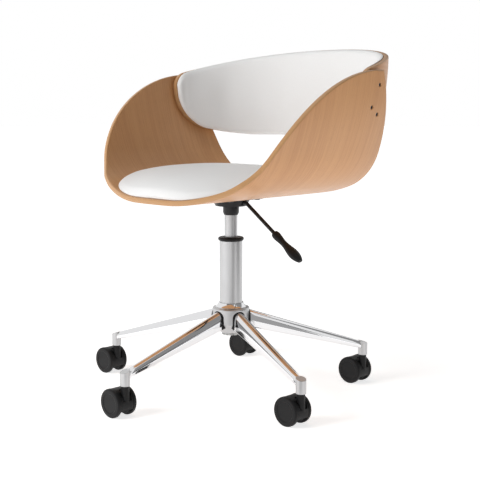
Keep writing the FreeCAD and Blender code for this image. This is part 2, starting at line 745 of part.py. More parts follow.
def profile_point(angle, offset):
    """Point (x, height) on the right half of the seat's cross-section.

    The angle is the slope of the ply there; the offset is outwards from the middle of the ply.
    """
    first = math.radians(DISH_ANGLE)
    second = math.radians(CORNER_ANGLE)
    x = SEAT_FLAT
    z = PLY / 2 + DISH_RADIUS
    radius = DISH_RADIUS
    if angle > first:
        x += (DISH_RADIUS - CORNER_RADIUS) * math.sin(first)
        z -= (DISH_RADIUS - CORNER_RADIUS) * math.cos(first)
        radius = CORNER_RADIUS
    if angle > second:
        x += (CORNER_RADIUS - WALL_RADIUS) * math.sin(second)
        z -= (CORNER_RADIUS - WALL_RADIUS) * math.cos(second)
        radius = WALL_RADIUS
    return x + (radius + offset) * math.sin(angle), z - (radius + offset) * math.cos(angle)


def solve_angle(axis, value, offset):
    """Slope at which the cross-section reaches a given x (axis 0) or height (axis 1)."""
    low = 0.0
    high = math.radians(WALL_ANGLE)
    for _ in range(50):
        middle = (low + high) / 2
        if profile_point(middle, offset)[axis] < value:
            low = middle
        else:
            high = middle
    return low


def wall_half_width(height, offset):
    """Half the width of the shell at a height on its walls."""
    return profile_point(solve_angle(1, height, offset), offset)[0]


def floor_height(x, y):
    """Height of the shell's upper surface."""
    inner = -PLY / 2
    x = abs(x) / plan_scale(y, SHELL_PLAN_DEPTH)
    if x <= SEAT_FLAT:
        return PLY
    return profile_point(solve_angle(0, x, inner), inner)[1]


def plan_scale(y, depth):
    """Share of the full width left at y, where the plan rounds in towards the back."""
    if y <= PLAN_CENTRE_Y:
        return 1.0
    share = ((y - PLAN_CENTRE_Y) / depth) ** PLAN_POWER
    return (1.0 - share) ** (1.0 / PLAN_POWER)


def ribbon_slopes():
    """Slopes of the ply from the middle of the seat to the top of a wing."""
    slopes = [0.0]
    for start, end, steps in (
        (0.0, DISH_ANGLE, DISH_STEPS),
        (DISH_ANGLE, CORNER_ANGLE, CORNER_STEPS),
        (CORNER_ANGLE, WALL_ANGLE, WALL_STEPS),
    ):
        slopes += [start + (end - start) * (step + 1) / steps for step in range(steps)]
    return [math.radians(slope) for slope in slopes]


def ribbon_outline(offset):
    """Points (x, height) across the seat from wing top to wing top, on one face of the ply."""
    right = [profile_point(slope, offset) for slope in ribbon_slopes()]
    middle = (0.0, right[0][1])
    return [(-x, z) for x, z in reversed(right)] + [middle] + right


def ribbon_marks():
    """Distance of each outline point along the middle of the ply."""
    outline = ribbon_outline(0.0)
    marks = [0.0]
    for before, after in zip(outline, outline[1:]):
        marks.append(marks[-1] + math.dist(before, after))
    return marks


def ribbon_edge(y, offset):
    """Curve across the seat at a station along Y, on one face of the ply."""
    scale = plan_scale(y, SHELL_PLAN_DEPTH)
    points = [V(x * scale, y, z) for x, z in ribbon_outline(offset)]
    return spline(points, ribbon_marks())


def ribbon_section(y):
    """Closed section of the bent ply at a station along Y."""
    inner = ribbon_edge(y, -PLY / 2)
    outer = ribbon_edge(y, PLY / 2)
    right = Part.makeLine(inner.Vertexes[-1].Point, outer.Vertexes[-1].Point)
    left = Part.makeLine(outer.Vertexes[0].Point, inner.Vertexes[0].Point)
    return Part.Wire([inner, right, outer, left])


def wing_outline():
    """Side outline of the seat shell: swept front, arched top and raked rear edge."""
    below = -PLY
    centre_height = WING_ARCH_HEIGHT - WING_ARCH_RADIUS
    end = math.radians(WING_ARCH_END)
    half = (end + math.pi / 2) / 2

    def on_arch(angle):
        return (WING_ARCH_Y + WING_ARCH_RADIUS * math.cos(angle),
                centre_height + WING_ARCH_RADIUS * math.sin(angle))

    return side_prism(
        SOCKET_RADIUS * 2,
        (WING_TOE_Y, below),
        ((WING_TOE_Y, WING_TOE_HEIGHT),),
        ((WING_SWEEP_Y, WING_SWEEP_HEIGHT), on_arch(end)),
        (on_arch(half), on_arch(math.pi / 2)),
        ((WING_REAR_Y, WING_ARCH_HEIGHT),),
        ((WING_REAR_SIDE_Y, WING_REAR_SIDE_HEIGHT), (SEAT_REAR, below)),
    )


def screw_axis(side, y, height):
    """Point on the outer face of a wing and the direction into it."""
    x = wall_half_width(height, PLY / 2) * plan_scale(y, SHELL_PLAN_DEPTH)
    return V(side * x, y, height), V(-side, 0, 0)


def screw_frames():
    """Outer point and inward direction of every backrest screw."""
    return [screw_axis(side, y, height) for side in (1, -1) for y, height in SCREW_SPOTS]


def seat_shell():
    """Bent-ply bucket: floor and two wings in one sheet, its front edge one arc in plan."""
    front = SEAT_FRONT - PLY
    rear = SEAT_REAR + PLY
    straight = (PLAN_CENTRE_Y - front) / 3
    rounded = (rear - PLAN_CENTRE_Y) / 5
    stations = [front + straight * step for step in range(4)]
    stations += [PLAN_CENTRE_Y + rounded * step for step in range(1, 6)]
    sheet = Part.makeLoft([ribbon_section(y) for y in stations], True, False)
    plan_centre = V(0, SEAT_FRONT + SEAT_FRONT_RADIUS, -PLY)
    plan = Part.makeCylinder(SEAT_FRONT_RADIUS, WING_ARCH_HEIGHT + 2 * PLY, plan_centre)
    shell = sheet.common(wing_outline()).common(plan)
    for x, y in bolt_places():
        shell = shell.cut(Part.makeCylinder(TEE_NUT_DIA / 2 + SEAT_FIT, 2 * PLY, V(x, y, -PLY / 2)))
        flange_radius = TEE_NUT_FLANGE_DIA / 2 + PLY_GAP
        seat_height = tee_nut_seat()
        shell = shell.cut(Part.makeCylinder(flange_radius, PLY, V(x, y, seat_height)))
    for point, inwards in screw_frames():
        shank = SCREW_DIA / 2 + PLY_GAP
        shell = shell.cut(Part.makeCylinder(shank, 3 * PLY, point - inwards * PLY, inwards))
        head = SCREW_HEAD_DIA / 2 + PLY_GAP
        depth = PLY + SCREW_SUNK + SCREW_HEAD_HEIGHT
        shell = shell.cut(Part.makeCylinder(head, depth, point - inwards * PLY, inwards))
    return max(shell.Solids, key=lambda solid: solid.Volume)


def tee_nut_seat():
    """Height of the counterbore under a tee nut's flange."""
    return PLY - TEE_NUT_FLANGE - SOFT_GAP


def plan_points(half_x, half_y, height):
    """Rounded-square plan of the backrest, from its right end round the back to its left end."""
    points = []
    for index in range(BACK_STEPS + 1):
        angle = math.pi * index / BACK_STEPS
        across = math.cos(angle)
        power = 2.0 / PLAN_POWER
        x = half_x * math.copysign(abs(across) ** power, across)
        y = PLAN_CENTRE_Y + half_y * max(math.sin(angle), 0.0) ** power
        points.append(V(x, y, height))
    return points


def band_section(height, outer_inset, inner_inset, end_share):
    """Closed level section of a band along the backrest, between two depths inside its outer face."""
    lean = math.tan(math.radians(BACK_LEAN)) * (height - BACK_DEPTH_HEIGHT)
    half_x = wall_half_width(height, -PLY / 2) - PLY_GAP
    half_y = BACK_DEPTH + lean
    outer_x = half_x - outer_inset
    inner_x = outer_x - (inner_inset - outer_inset) * end_share
    outer = plan_points(outer_x, half_y - outer_inset, height)
    inner = plan_points(inner_x, half_y - inner_inset, height)
    tail = V(0, -PLY, 0)
    right = Part.makePolygon([outer[0], outer[0] + tail, inner[0] + tail, inner[0]]).Edges
    left = Part.makePolygon([inner[-1], inner[-1] + tail, outer[-1] + tail, outer[-1]]).Edges
    marks = list(range(BACK_STEPS + 1))
    outer_side = [spline(outer, marks)]
    inner_side = [spline(inner, marks)]
    return Part.Wire(outer_side + list(reversed(left)) + inner_side + list(reversed(right)))


def back_outline(inset, nose_inset):
    """Side outline of the backrest, drawn in at its edges and at its two noses."""
    return side_prism(
        SOCKET_RADIUS * 2,
        (BACK_TOP_Y, BACK_TOP_HEIGHT - inset),
        ((BACK_NOSE_TOP_Y + nose_inset, BACK_NOSE_TOP_HEIGHT - inset),),
        (
            (BACK_NOSE_Y + nose_inset, BACK_NOSE_HEIGHT),
            (BACK_CHIN_Y + nose_inset, BACK_CHIN_HEIGHT + inset),
        ),
        ((BACK_JAW_Y + inset, BACK_JAW_HEIGHT + inset), (BACK_LOW_Y, BACK_LOW_HEIGHT + inset)),
        ((BACK_TOP_Y, BACK_LOW_HEIGHT + inset),),
    )


def backrest_shell():
    """Bent-ply band that closes the bucket at the back, its ends inside the wings."""
    bottom = BACK_LOW_HEIGHT - PLY
    top = BACK_TOP_HEIGHT + PLY
    levels = [bottom + (top - bottom) * step / 5 for step in range(6)]
    sections = [band_section(height, 0.0, PLY, 1.0) for height in levels]
    band = Part.makeLoft(sections, True, False).common(back_outline(0.0, 0.0))
    for point, inwards in screw_frames():
        band = band.cut(Part.makeCylinder(SCREW_DIA / 2 + SEAT_FIT, SCREW_LENGTH + PLY_GAP, point, inwards))
    return max(band.Solids, key=lambda solid: solid.Volume)


def backrest_screws():
    """Countersunk screws through the wings into the backrest."""
    screws = []
    for point, inwards in screw_frames():
        head_face = point + inwards * SCREW_SUNK
        head = Part.makeCylinder(SCREW_HEAD_DIA / 2, SCREW_HEAD_HEIGHT, head_face, inwards)
        shank = Part.makeCylinder(SCREW_DIA / 2, SCREW_LENGTH - SCREW_SUNK, head_face, inwards)
        screws.append(head.fuse(shank).removeSplitter())
    return Part.Compound(screws)


def plate_bolts():
    """Bolts that hold the plate to the tee nuts."""
    flange_bottom = -PLATE_GAP - PLATE_THICKNESS
    length = tee_nut_seat() - flange_bottom
    bolts = []
    for x, y in bolt_places():
        shank = Part.makeCylinder(BOLT_DIA / 2, length, V(x, y, flange_bottom))
        head_bottom = V(x, y, flange_bottom - BOLT_HEAD_HEIGHT)
        head = Part.makeCylinder(BOLT_HEAD_DIA / 2, BOLT_HEAD_HEIGHT, head_bottom)
        bolts.append(head.fuse(shank).removeSplitter())
    return Part.Compound(bolts)


def tee_nuts():
    """Tee nuts let into the upper face of the seat, hidden by the pad."""
    nuts = []
    for x, y in bolt_places():
        seat = tee_nut_seat()
        flange = Part.makeCylinder(TEE_NUT_FLANGE_DIA / 2, TEE_NUT_FLANGE, V(x, y, seat))
        barrel = Part.makeCylinder(TEE_NUT_DIA / 2, seat, V(x, y, 0))
        bore = Part.makeCylinder(BOLT_DIA / 2 + SEAT_FIT, 2 * PLY, V(x, y, 0))
        nuts.append(flange.fuse(barrel).cut(bore).removeSplitter())
    return Part.Compound(nuts)


# Pads

def seat_pad_section(y):
    """Closed section of the seat pad: its underside follows the shell, its top is one shallow arc."""
    middle_y = (SEAT_PAD_FRONT + SEAT_PAD_REAR) / 2
    along = (y - middle_y) / ((SEAT_PAD_REAR - SEAT_PAD_FRONT) / 2)
    power = SEAT_PAD_FRONT_POWER if along < 0 else SEAT_PAD_REAR_POWER
    fullness = (1 - abs(along) ** power) ** (1 / power)
    half = SEAT_PAD_WIDTH / 2 * fullness
    crown = SEAT_PAD_EDGE + (SEAT_PAD_CROWN - SEAT_PAD_EDGE) * math.sqrt(1 - along ** 2)
    flat = SEAT_PAD_FLAT

    def under(x):
        return V(x, y, floor_height(x, y) + SOFT_GAP)

    dish_end = profile_point(math.radians(DISH_ANGLE), -PLY / 2)[0]
    bend = min(dish_end, (flat + half) / 2)
    inner_way = (flat + bend) / 2
    outer_way = (bend + half) / 2
    upper_half = half - SEAT_PAD_DRAW_IN
    rim = under(half).z + SEAT_PAD_EDGE
    crest = V(0, y, under(0).z + crown)
    return closed_wire(
        under(-flat),
        (under(flat),),
        (under(inner_way), under(bend)),
        (under(outer_way), under(half)),
        (V(upper_half, y, rim),),
        (crest, V(-upper_half, y, rim)),
        (under(-half),),
        (under(-outer_way), under(-bend)),
        (under(-inner_way), under(-flat)),
    )


def seat_pad():
    """Crowned seat cushion with drawn-in sides."""
    middle = (SEAT_PAD_FRONT + SEAT_PAD_REAR) / 2
    reach = (SEAT_PAD_REAR - SEAT_PAD_FRONT) / 2
    sections = [seat_pad_section(middle + reach * share) for share in SEAT_PAD_SHARES]
    return Part.makeLoft(sections, True, False)


def back_pad():
    """Crowned cushion on the front of the backrest, drawn in at its edges."""
    bottom = BACK_LOW_HEIGHT
    top = BACK_TOP_HEIGHT
    middle = (bottom + top) / 2
    behind = PLY + SOFT_GAP
    sections = []
    for share in BACK_PAD_SHARES:
        crown = BACK_PAD_EDGE + (BACK_PAD_CROWN - BACK_PAD_EDGE) * (1 - abs(share) ** BACK_PAD_POWER)
        height = middle + share * (top - bottom) / 2
        sections.append(band_section(height, behind, behind + crown, BACK_PAD_END_SHARE))
    pad = Part.makeLoft(sections, True, False).common(back_outline(BACK_PAD_INSET, BACK_PAD_NOSE_INSET))
    return max(pad.Solids, key=lambda solid: solid.Volume)


# All pieces in place

def base_pieces():
    """Star base, castor sockets and the fixed half of the lift."""
    pieces = {
        "hub": hub(),
        "hub_cap": hub_cap(),
        "column_tube": column_tube(),
        "column_ring": column_ring(),
        "guide_bush": guide_bush(),
        "thrust_bearing": thrust_bearing(),
    }
    one_leg = leg()
    one_socket = castor_socket()
    for index in range(CASTOR_COUNT):
        pieces[f"leg_{index + 1}"] = turned(one_leg, leg_angle(index))
        pieces[f"castor_socket_{index + 1}"] = turned(one_socket, leg_angle(index))
    return pieces


def castor_pieces():
    """Five castors, all trailing the same way."""
    kit = {
        "castor_stem": castor_stem(),
        "castor_hood": castor_hood(),
        "castor_axle": castor_axle(),
        "castor_wheel_left": castor_wheel(1),
        "castor_wheel_right": castor_wheel(-1),
    }
    pieces = {}
    for index in range(CASTOR_COUNT):
        angle = math.radians(leg_angle(index))
        place = V(math.cos(angle), math.sin(angle), 0) * SOCKET_RADIUS
        for name, shape in kit.items():
            copy = shape.copy()
            copy.translate(place)
            pieces[f"{name}_{index + 1}"] = copy
    return pieces


def lift_pieces():
    """Moving half of the lift, the seat plate and the lever."""
    return {
        "piston_rod": piston_rod(),
        "piston_head": piston_head(),
        "retaining_clip": retaining_clip(),
        "pressure_tube": pressure_tube(),
        "tube_seal": tube_seal(),
        "release_button": release_button(),
        "taper_socket": taper_socket(),
        "seat_plate": seat_plate(),
        "lever_pin": lever_pin(),
        "lever_rod": lever_rod(),
        "lever_grip": lever_grip(),
    }


def seat_pieces():
    """Ply, pads and their fasteners, lifted onto the plate."""
    pieces = {
        "seat_shell": seat_shell(),
        "backrest_shell": backrest_shell(),
        "seat_pad": seat_pad(),
        "back_pad": back_pad(),
        "backrest_screws": backrest_screws(),
        "plate_bolts": plate_bolts(),
        "tee_nuts": tee_nuts(),
    }
    for shape in pieces.values():
        shape.translate(V(0, 0, SEAT_BOTTOM))
    return pieces


def main():
    """Build every piece and write it to its own file."""
    os.makedirs("parts", exist_ok=True)
    for group in (base_pieces(), castor_pieces(), lift_pieces(), seat_pieces()):
        for name, shape in group.items():
            shape.exportStep(f"parts/{name}.step")
            print(name, len(shape.Solids), round(shape.Volume), shape.isValid())


main()
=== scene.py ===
"""Looks of the bent-ply swivel chair: bent sheets, pads, refined hardware, finishes and the studio."""

import json
import logging
import math
from dataclasses import dataclass, field
from enum import Enum
from typing import Sequence, Union

import bmesh
import bpy
import numpy as np
from mathutils import Matrix, Vector

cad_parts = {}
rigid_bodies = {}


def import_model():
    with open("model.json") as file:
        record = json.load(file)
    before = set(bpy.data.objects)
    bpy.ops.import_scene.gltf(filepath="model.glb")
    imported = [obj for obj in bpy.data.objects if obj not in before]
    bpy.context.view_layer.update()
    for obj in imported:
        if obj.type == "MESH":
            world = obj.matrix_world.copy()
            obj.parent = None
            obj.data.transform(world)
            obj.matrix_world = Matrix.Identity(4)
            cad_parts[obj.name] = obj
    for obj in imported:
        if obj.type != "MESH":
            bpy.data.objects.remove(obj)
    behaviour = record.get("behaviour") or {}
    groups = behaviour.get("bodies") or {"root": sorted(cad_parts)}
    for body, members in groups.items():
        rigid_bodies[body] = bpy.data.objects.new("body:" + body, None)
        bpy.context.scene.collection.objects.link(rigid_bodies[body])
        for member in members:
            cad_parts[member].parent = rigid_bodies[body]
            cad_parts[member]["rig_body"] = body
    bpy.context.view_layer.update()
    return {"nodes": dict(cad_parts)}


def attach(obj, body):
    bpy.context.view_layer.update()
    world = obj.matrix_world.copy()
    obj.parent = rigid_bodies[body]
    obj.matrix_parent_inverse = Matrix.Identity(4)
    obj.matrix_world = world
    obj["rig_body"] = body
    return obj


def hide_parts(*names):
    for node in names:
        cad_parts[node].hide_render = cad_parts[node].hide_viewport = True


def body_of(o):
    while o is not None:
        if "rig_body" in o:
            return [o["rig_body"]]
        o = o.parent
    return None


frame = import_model()

log = logging.getLogger("chair")

Colour = tuple[float, float, float]
Stretch = tuple[float, float, float]
Span = tuple[float, float]
Value = Union["Signal", float, tuple]

MM = 0.001
# The least length that anything is divided by.
TINY = 1e-12
# An edge that turns by more than this stays sharp.
SHARP = math.radians(32.0)
BLACK: Colour = (0.0, 0.0, 0.0)
WHITE: Colour = (1.0, 1.0, 1.0)


class Slot(Enum):
    """The record's material slots."""

    VENEER = "veneer"
    PAD_COVER = "pad_cover"
    CHROME = "chrome"
    PLASTIC = "black_plastic"
    PAINT = "black_paint"
    STEEL = "steel"
    DARK_STEEL = "dark_steel"
    GUIDE = "guide_plastic"


class Body(Enum):
    """The record's bodies that carry pieces made here."""

    BASE = "base"
    SEAT = "seat"


class Signal:
    """A shader socket that takes part in Python sums."""

    def __init__(self, tree: bpy.types.NodeTree, socket: bpy.types.NodeSocket) -> None:
        """Wraps an output socket of a node tree."""
        self.tree = tree
        self.socket = socket

    def _maths(self, operation: str, first: Value, second: Value = 0.0) -> "Signal":
        """Adds one Math node.

        Args:
            operation: What the node does.
            first: Its first term.
            second: Its second term.

        Returns:
            The result.
        """
        node = self.tree.nodes.new("ShaderNodeMath")
        node.operation = operation
        for place, term in zip(node.inputs, (first, second)):
            if isinstance(term, Signal):
                self.tree.links.new(term.socket, place)
            else:
                place.default_value = term
        return Signal(self.tree, node.outputs[0])

    def __add__(self, other: Value) -> "Signal":
        """Adds a value to the signal."""
        return self._maths("ADD", self, other)

    def __radd__(self, other: Value) -> "Signal":
        """Adds the signal to a value."""
        return self._maths("ADD", other, self)

    def __sub__(self, other: Value) -> "Signal":
        """Takes a value from the signal."""
        return self._maths("SUBTRACT", self, other)

    def __rsub__(self, other: Value) -> "Signal":
        """Takes the signal from a value."""
        return self._maths("SUBTRACT", other, self)

    def __mul__(self, other: Value) -> "Signal":
        """Multiplies the signal by a value."""
        return self._maths("MULTIPLY", self, other)

    def __rmul__(self, other: Value) -> "Signal":
        """Multiplies a value by the signal."""
        return self._maths("MULTIPLY", other, self)

    def __truediv__(self, other: Value) -> "Signal":
        """Divides the signal by a value."""
        return self._maths("DIVIDE", self, other)

    def __rtruediv__(self, other: Value) -> "Signal":
        """Divides a value by the signal."""
        return self._maths("DIVIDE", other, self)

    def __pow__(self, other: Value) -> "Signal":
        """Raises the signal to a power."""
        return self._maths("POWER", self, other)

    def __rpow__(self, other: Value) -> "Signal":
        """Raises a value to the signal."""
        return self._maths("POWER", other, self)

    def wave(self) -> "Signal":
        """Returns the sine of the signal."""
        return self._maths("SINE", self)

    def step(self, low: float, high: float) -> "Signal":
        """Rises smoothly from 0 at low to 1 at high.

        Args:
            low: The signal that gives 0.
            high: The signal that gives 1.

        Returns:
            The eased signal.
        """
        node = self.tree.nodes.new("ShaderNodeMapRange")
        node.interpolation_type = "SMOOTHSTEP"
        self.tree.links.new(self.socket, node.inputs["Value"])
        node.inputs["From Min"].default_value = low
        node.inputs["From Max"].default_value = high
        return Signal(self.tree, node.outputs[0])


class NodeMaker:
    """Adds nodes to one tree and links them."""

    def __init__(self, tree: bpy.types.NodeTree) -> None:
        """Takes the tree to fill."""
        self.tree = tree

    def add(self, kind: str, settings: dict, sockets: dict, output: Union[int, str] = 0) -> Signal:
        """Adds any node.

        Args:
            kind: The node's type.
            settings: Its own settings, set before its sockets.
            sockets: Values or signals by socket name or number.
            output: The output that the returned signal reads.

        Returns:
            The chosen output.
        """
        node = self.tree.nodes.new(kind)
        for name, value in settings.items():
            setattr(node, name, value)
        for name, value in sockets.items():
            self._feed(node.inputs[name], value)
        return Signal(self.tree, node.outputs[output])

    def _feed(self, socket: bpy.types.NodeSocket, value: Value) -> None:
        """Links or sets one socket.

        Args:
            socket: The input socket.
            value: A signal to link, or a number, a colour or a vector to set.
        """
        if isinstance(value, Signal):
            self.tree.links.new(value.socket, socket)
        elif isinstance(value, tuple) and socket.type == "RGBA":
            socket.default_value = (*value, 1.0)
        else:
            socket.default_value = value


@dataclass(frozen=True)
class Streak:
    """A noise with its own number of grains to a unit along each axis."""

    stretch: Stretch
    detail: float = 2.0
    warp: float = 0.0


class Recipe(NodeMaker):
    """One material while its nodes are put together."""

    # The numbers of a Mix node's sockets for colours.
    MIX_FACTOR = 0
    MIX_COLOURS = (6, 7)
    MIX_RESULT = 2

    def __init__(self, name: str) -> None:
        """Starts a material with one principled shader.

        Args:
            name: The material's name.
        """
        self.material = bpy.data.materials.new(name)
        self.material.use_nodes = True
        super().__init__(self.material.node_tree)
        self.shader = self.tree.nodes["Principled BSDF"]

    def place(self) -> Signal:
        """Returns the object coordinates."""
        return self.add("ShaderNodeTexCoord", {}, {}, "Object")

    def flat_place(self) -> Signal:
        """Returns the sheet's own coordinates, in metres along and across the grain."""
        return self.add("ShaderNodeUVMap", {"uv_map": SheetMesh.COORDINATES}, {})

    def reading(self, attribute: str) -> Signal:
        """Reads the number that the mesh stores under an attribute's name."""
        return self.add("ShaderNodeAttribute", {"attribute_name": attribute}, {}, "Fac")

    def noise(self, vector: Signal, scale: float, detail: float = 2.0, warp: float = 0.0) -> Signal:
        """Adds a noise of about 0 to 1, with so many grains to a unit and so many finer layers."""
        sockets = {"Vector": vector, "Scale": scale, "Detail": detail, "Distortion": warp}
        return self.add("ShaderNodeTexNoise", {}, sockets, "Fac")

    def streaked(self, vector: Signal, streak: Streak) -> Signal:
        """Adds a noise that is drawn out along an axis.

        Args:
            vector: Where it is read.
            streak: How it is drawn out.

        Returns:
            The noise.
        """
        sockets = {0: vector, 1: streak.stretch}
        place = self.add("ShaderNodeVectorMath", {"operation": "MULTIPLY"}, sockets)
        return self.noise(place, 1.0, streak.detail, streak.warp)

    def blend(self, share: Value, first: Value, second: Value) -> Signal:
        """Mixes two colours.

        Args:
            share: How much of the second there is.
            first: The colour at 0.
            second: The colour at 1.

        Returns:
            The mixed colour.
        """
        first_place, second_place = self.MIX_COLOURS
        sockets = {self.MIX_FACTOR: share, first_place: first, second_place: second}
        return self.add("ShaderNodeMix", {"data_type": "RGBA"}, sockets, self.MIX_RESULT)

    def bump(self, height: Signal, depth: float, strength: float = 1.0) -> Signal:
        """Turns a height into a normal, where a height of 1 stands for the depth in metres."""
        sockets = {"Height": height, "Distance": depth, "Strength": strength}
        return self.add("ShaderNodeBump", {}, sockets, "Normal")

    def done(self, **sockets: Value) -> bpy.types.Material:
        """Feeds the principled shader.

        Args:
            sockets: Values or signals, with underscores for the spaces in socket names.

        Returns:
            The finished material.
        """
        for name, value in sockets.items():
            self._feed(self.shader.inputs[name.replace("_", " ")], value)
        return self.material


@dataclass(frozen=True)
class VeneerFinish:
    """Lacquered light veneer with its grain along the bend, and the plies showing at the rims."""

    name: str = "veneer_lacquered"
    light: Colour = (0.585, 0.302, 0.128)
    deep: Colour = (0.466, 0.217, 0.083)
    pore: Colour = (0.270, 0.122, 0.048)
    rim: Colour = (0.470, 0.268, 0.124)
    glue: Colour = (0.330, 0.160, 0.066)
    plies: int = 7
    # The grain's noises, along and across the sheet.
    drift: Streak = Streak((0.9, 6.0, 1.0))
    figure: Streak = Streak((1.6, 46.0, 1.0), 4.0, 0.35)
    fine: Streak = Streak((5.0, 320.0, 1.0), 3.0)
    dashes: Streak = Streak((45.0, 1500.0, 1.0), 1.0)
    flecks: Streak = Streak((160.0, 700.0, 1.0), 1.0)
    # How much of each noise shows, and between which of its values.
    figure_share: float = 0.36
    fine_share: float = 0.42
    drift_share: float = 0.30
    streak_span: Span = (0.34, 0.80)
    dash_span: Span = (0.62, 0.74)
    dash_share: float = 0.42
    fleck_span: Span = (0.66, 0.76)
    fleck_share: float = 0.30
    rim_span: Span = (0.25, 0.75)
    rim_grain: float = 0.30
    glue_span: Span = (0.86, 1.0)
    glue_share: float = 0.42
    fine_height: float = 0.5
    pore_depth: float = 0.06 * MM
    relief: float = 0.5
    roughness: float = 0.36
    unevenness: float = 0.12
    coat: float = 0.12
    coat_roughness: float = 0.22

    def material(self) -> bpy.types.Material:
        """Puts the finish together.

        Returns:
            The material.
        """
        recipe = Recipe(self.name)
        flat = recipe.flat_place()
        drift = recipe.streaked(flat, self.drift)
        figure = recipe.streaked(flat, self.figure)
        fine = recipe.streaked(flat, self.fine)
        dashes = recipe.streaked(flat, self.dashes).step(*self.dash_span)
        flecks = recipe.streaked(flat, self.flecks).step(*self.fleck_span)
        streaks = self.figure_share * figure + self.fine_share * fine + self.drift_share * drift
        wood = recipe.blend(streaks.step(*self.streak_span), self.light, self.deep)
        wood = recipe.blend(self.dash_share * dashes, wood, self.pore)
        wood = recipe.blend(self.fleck_share * flecks, wood, self.deep)
        depth = recipe.reading(SheetMesh.DEPTH)
        rim = recipe.reading(SheetMesh.RIM).step(*self.rim_span)
        lines = ((depth * (math.pi * self.plies / 2.0)).wave() ** 2.0).step(*self.glue_span)
        edge = recipe.blend(self.glue_share * lines, self.rim, self.glue)
        edge = recipe.blend(self.rim_grain * fine, edge, self.deep)
        return recipe.done(
            Base_Color=recipe.blend(rim, wood, edge),
            Roughness=self.roughness + self.unevenness * fine,
            Normal=recipe.bump(self.fine_height * fine - dashes, self.pore_depth, self.relief),
            Coat_Weight=self.coat,
            Coat_Roughness=self.coat_roughness,
        )


@dataclass(frozen=True)
class CoverFinish:
    """White leatherette with a fine pebble and painted shade in the pebble's grooves."""

    name: str = "leatherette_white"
    colour: Colour = (0.880, 0.880, 0.875)
    # The grooves between the pebbles are darkened towards the next colour, as painted shade.
    groove_shade: Colour = (0.720, 0.720, 0.720)
    cells: float = 850.0
    randomness: float = 0.9
    groove_span: Span = (0.02, 0.32)
    # How much of the painted groove shade shows.
    groove_shade_share: float = 0.22
    groove_depth: float = 0.12 * MM
    relief: float = 0.55
    cloud: float = 14.0
    cloud_detail: float = 3.0
    roughness: float = 0.46
    unevenness: float = 0.10
    sheen: float = 0.05

    def material(self) -> bpy.types.Material:
        """Puts the finish together.

        Returns:
            The material.
        """
        recipe = Recipe(self.name)
        place = recipe.place()
        sockets = {"Vector": place, "Scale": self.cells, "Randomness": self.randomness}
        pebble = recipe.add("ShaderNodeTexVoronoi", {"feature": "DISTANCE_TO_EDGE"}, sockets, "Distance")
        raised = pebble.step(*self.groove_span)
        cloudy = recipe.noise(place, self.cloud, self.cloud_detail)
        return recipe.done(
            # Painted shade: the colour is darkened in the grooves between the pebbles.
            Base_Color=recipe.blend(self.groove_shade_share * (1.0 - raised), self.colour, self.groove_shade),
            Roughness=self.roughness + self.unevenness * cloudy,
            Normal=recipe.bump(raised, self.groove_depth, self.relief),
            Sheen_Weight=self.sheen,
        )


@dataclass(frozen=True)
class MetalFinish:
    """Plated, brushed or plain metal; a piece marked as satin is duller than the rest."""

    SATIN = "satin"

    name: str
    colour: Colour
    roughness: float
    satin_colour: Colour = (0.50, 0.50, 0.505)
    satin_roughness: float = 0.28
    haze: float = 22.0
    haze_detail: float = 3.0
    haze_span: Span = (0.40, 0.75)
    smudge: float = 0.04
    grain: Streak = Streak((900.0, 900.0, 9.0))
    brush: float = 0.0

    def material(self) -> bpy.types.Material:
        """Puts the finish together.

        Returns:
            The material.
        """
        recipe = Recipe(self.name)
        place = recipe.place()
        haze = recipe.noise(place, self.haze, self.haze_detail).step(*self.haze_span)
        grain = recipe.streaked(place, self.grain)
        satin = recipe.reading(self.SATIN)
        dullness = self.roughness + self.satin_roughness * satin
        return recipe.done(
            Base_Color=recipe.blend(satin, self.colour, self.satin_colour),
            Metallic=1.0,
            Roughness=dullness + self.smudge * haze + self.brush * grain,
        )


@dataclass(frozen=True)
class MouldedFinish:
    """Moulded plastic or baked paint with a fine spark texture."""

    name: str
    colour: Colour
    roughness: float
    spark: float = 1800.0
    spark_depth: float = 0.03 * MM
    relief: float = 0.5
    wear: float = 35.0
    wear_detail: float = 4.0
    wear_span: Span = (0.35, 0.75)
    unevenness: float = 0.12
    coat: float = 0.0
    coat_roughness: float = 0.12
    shine: float = 0.20

    def material(self) -> bpy.types.Material:
        """Puts the finish together.

        Returns:
            The material.
        """
        recipe = Recipe(self.name)
        place = recipe.place()
        spark = recipe.noise(place, self.spark)
        wear = recipe.noise(place, self.wear, self.wear_detail).step(*self.wear_span)
        return recipe.done(
            Base_Color=self.colour,
            Roughness=self.roughness + self.unevenness * wear,
            Normal=recipe.bump(spark, self.spark_depth, self.relief),
            Coat_Weight=self.coat,
            Coat_Roughness=self.coat_roughness,
            Specular_IOR_Level=self.shine,
        )


Finish = Union[VeneerFinish, CoverFinish, MetalFinish, MouldedFinish]

FINISHES: dict[Slot, Finish] = {
    Slot.VENEER: VeneerFinish(),
    Slot.PAD_COVER: CoverFinish(),
    Slot.CHROME: MetalFinish("chrome_plate", (0.76, 0.76, 0.77), 0.06),
    Slot.PLASTIC: MouldedFinish("plastic_black", (0.010, 0.010, 0.0105), 0.40),
    Slot.PAINT: MouldedFinish("paint_black", (0.012, 0.012, 0.0125), 0.30, coat=0.1),
    Slot.STEEL: MetalFinish("steel_bright", (0.40, 0.40, 0.395), 0.26, brush=0.06),
    Slot.DARK_STEEL: MetalFinish("steel_blackened", (0.10, 0.10, 0.105), 0.36),
    Slot.GUIDE: MouldedFinish("plastic_guide", (0.55, 0.54, 0.50), 0.50),
}


class Palette:
    """The materials, one for each slot."""

    def __init__(self) -> None:
        """Makes every slot's material."""
        self.materials = {slot: finish.material() for slot, finish in FINISHES.items()}

    def coat(self, piece: bpy.types.Object, slot: Slot) -> None:
        """Gives a piece its finish and its slot.

        Args:
            piece: The piece.
            slot: The slot.
        """
        piece.data.materials.clear()
        piece.data.materials.append(self.materials[slot])


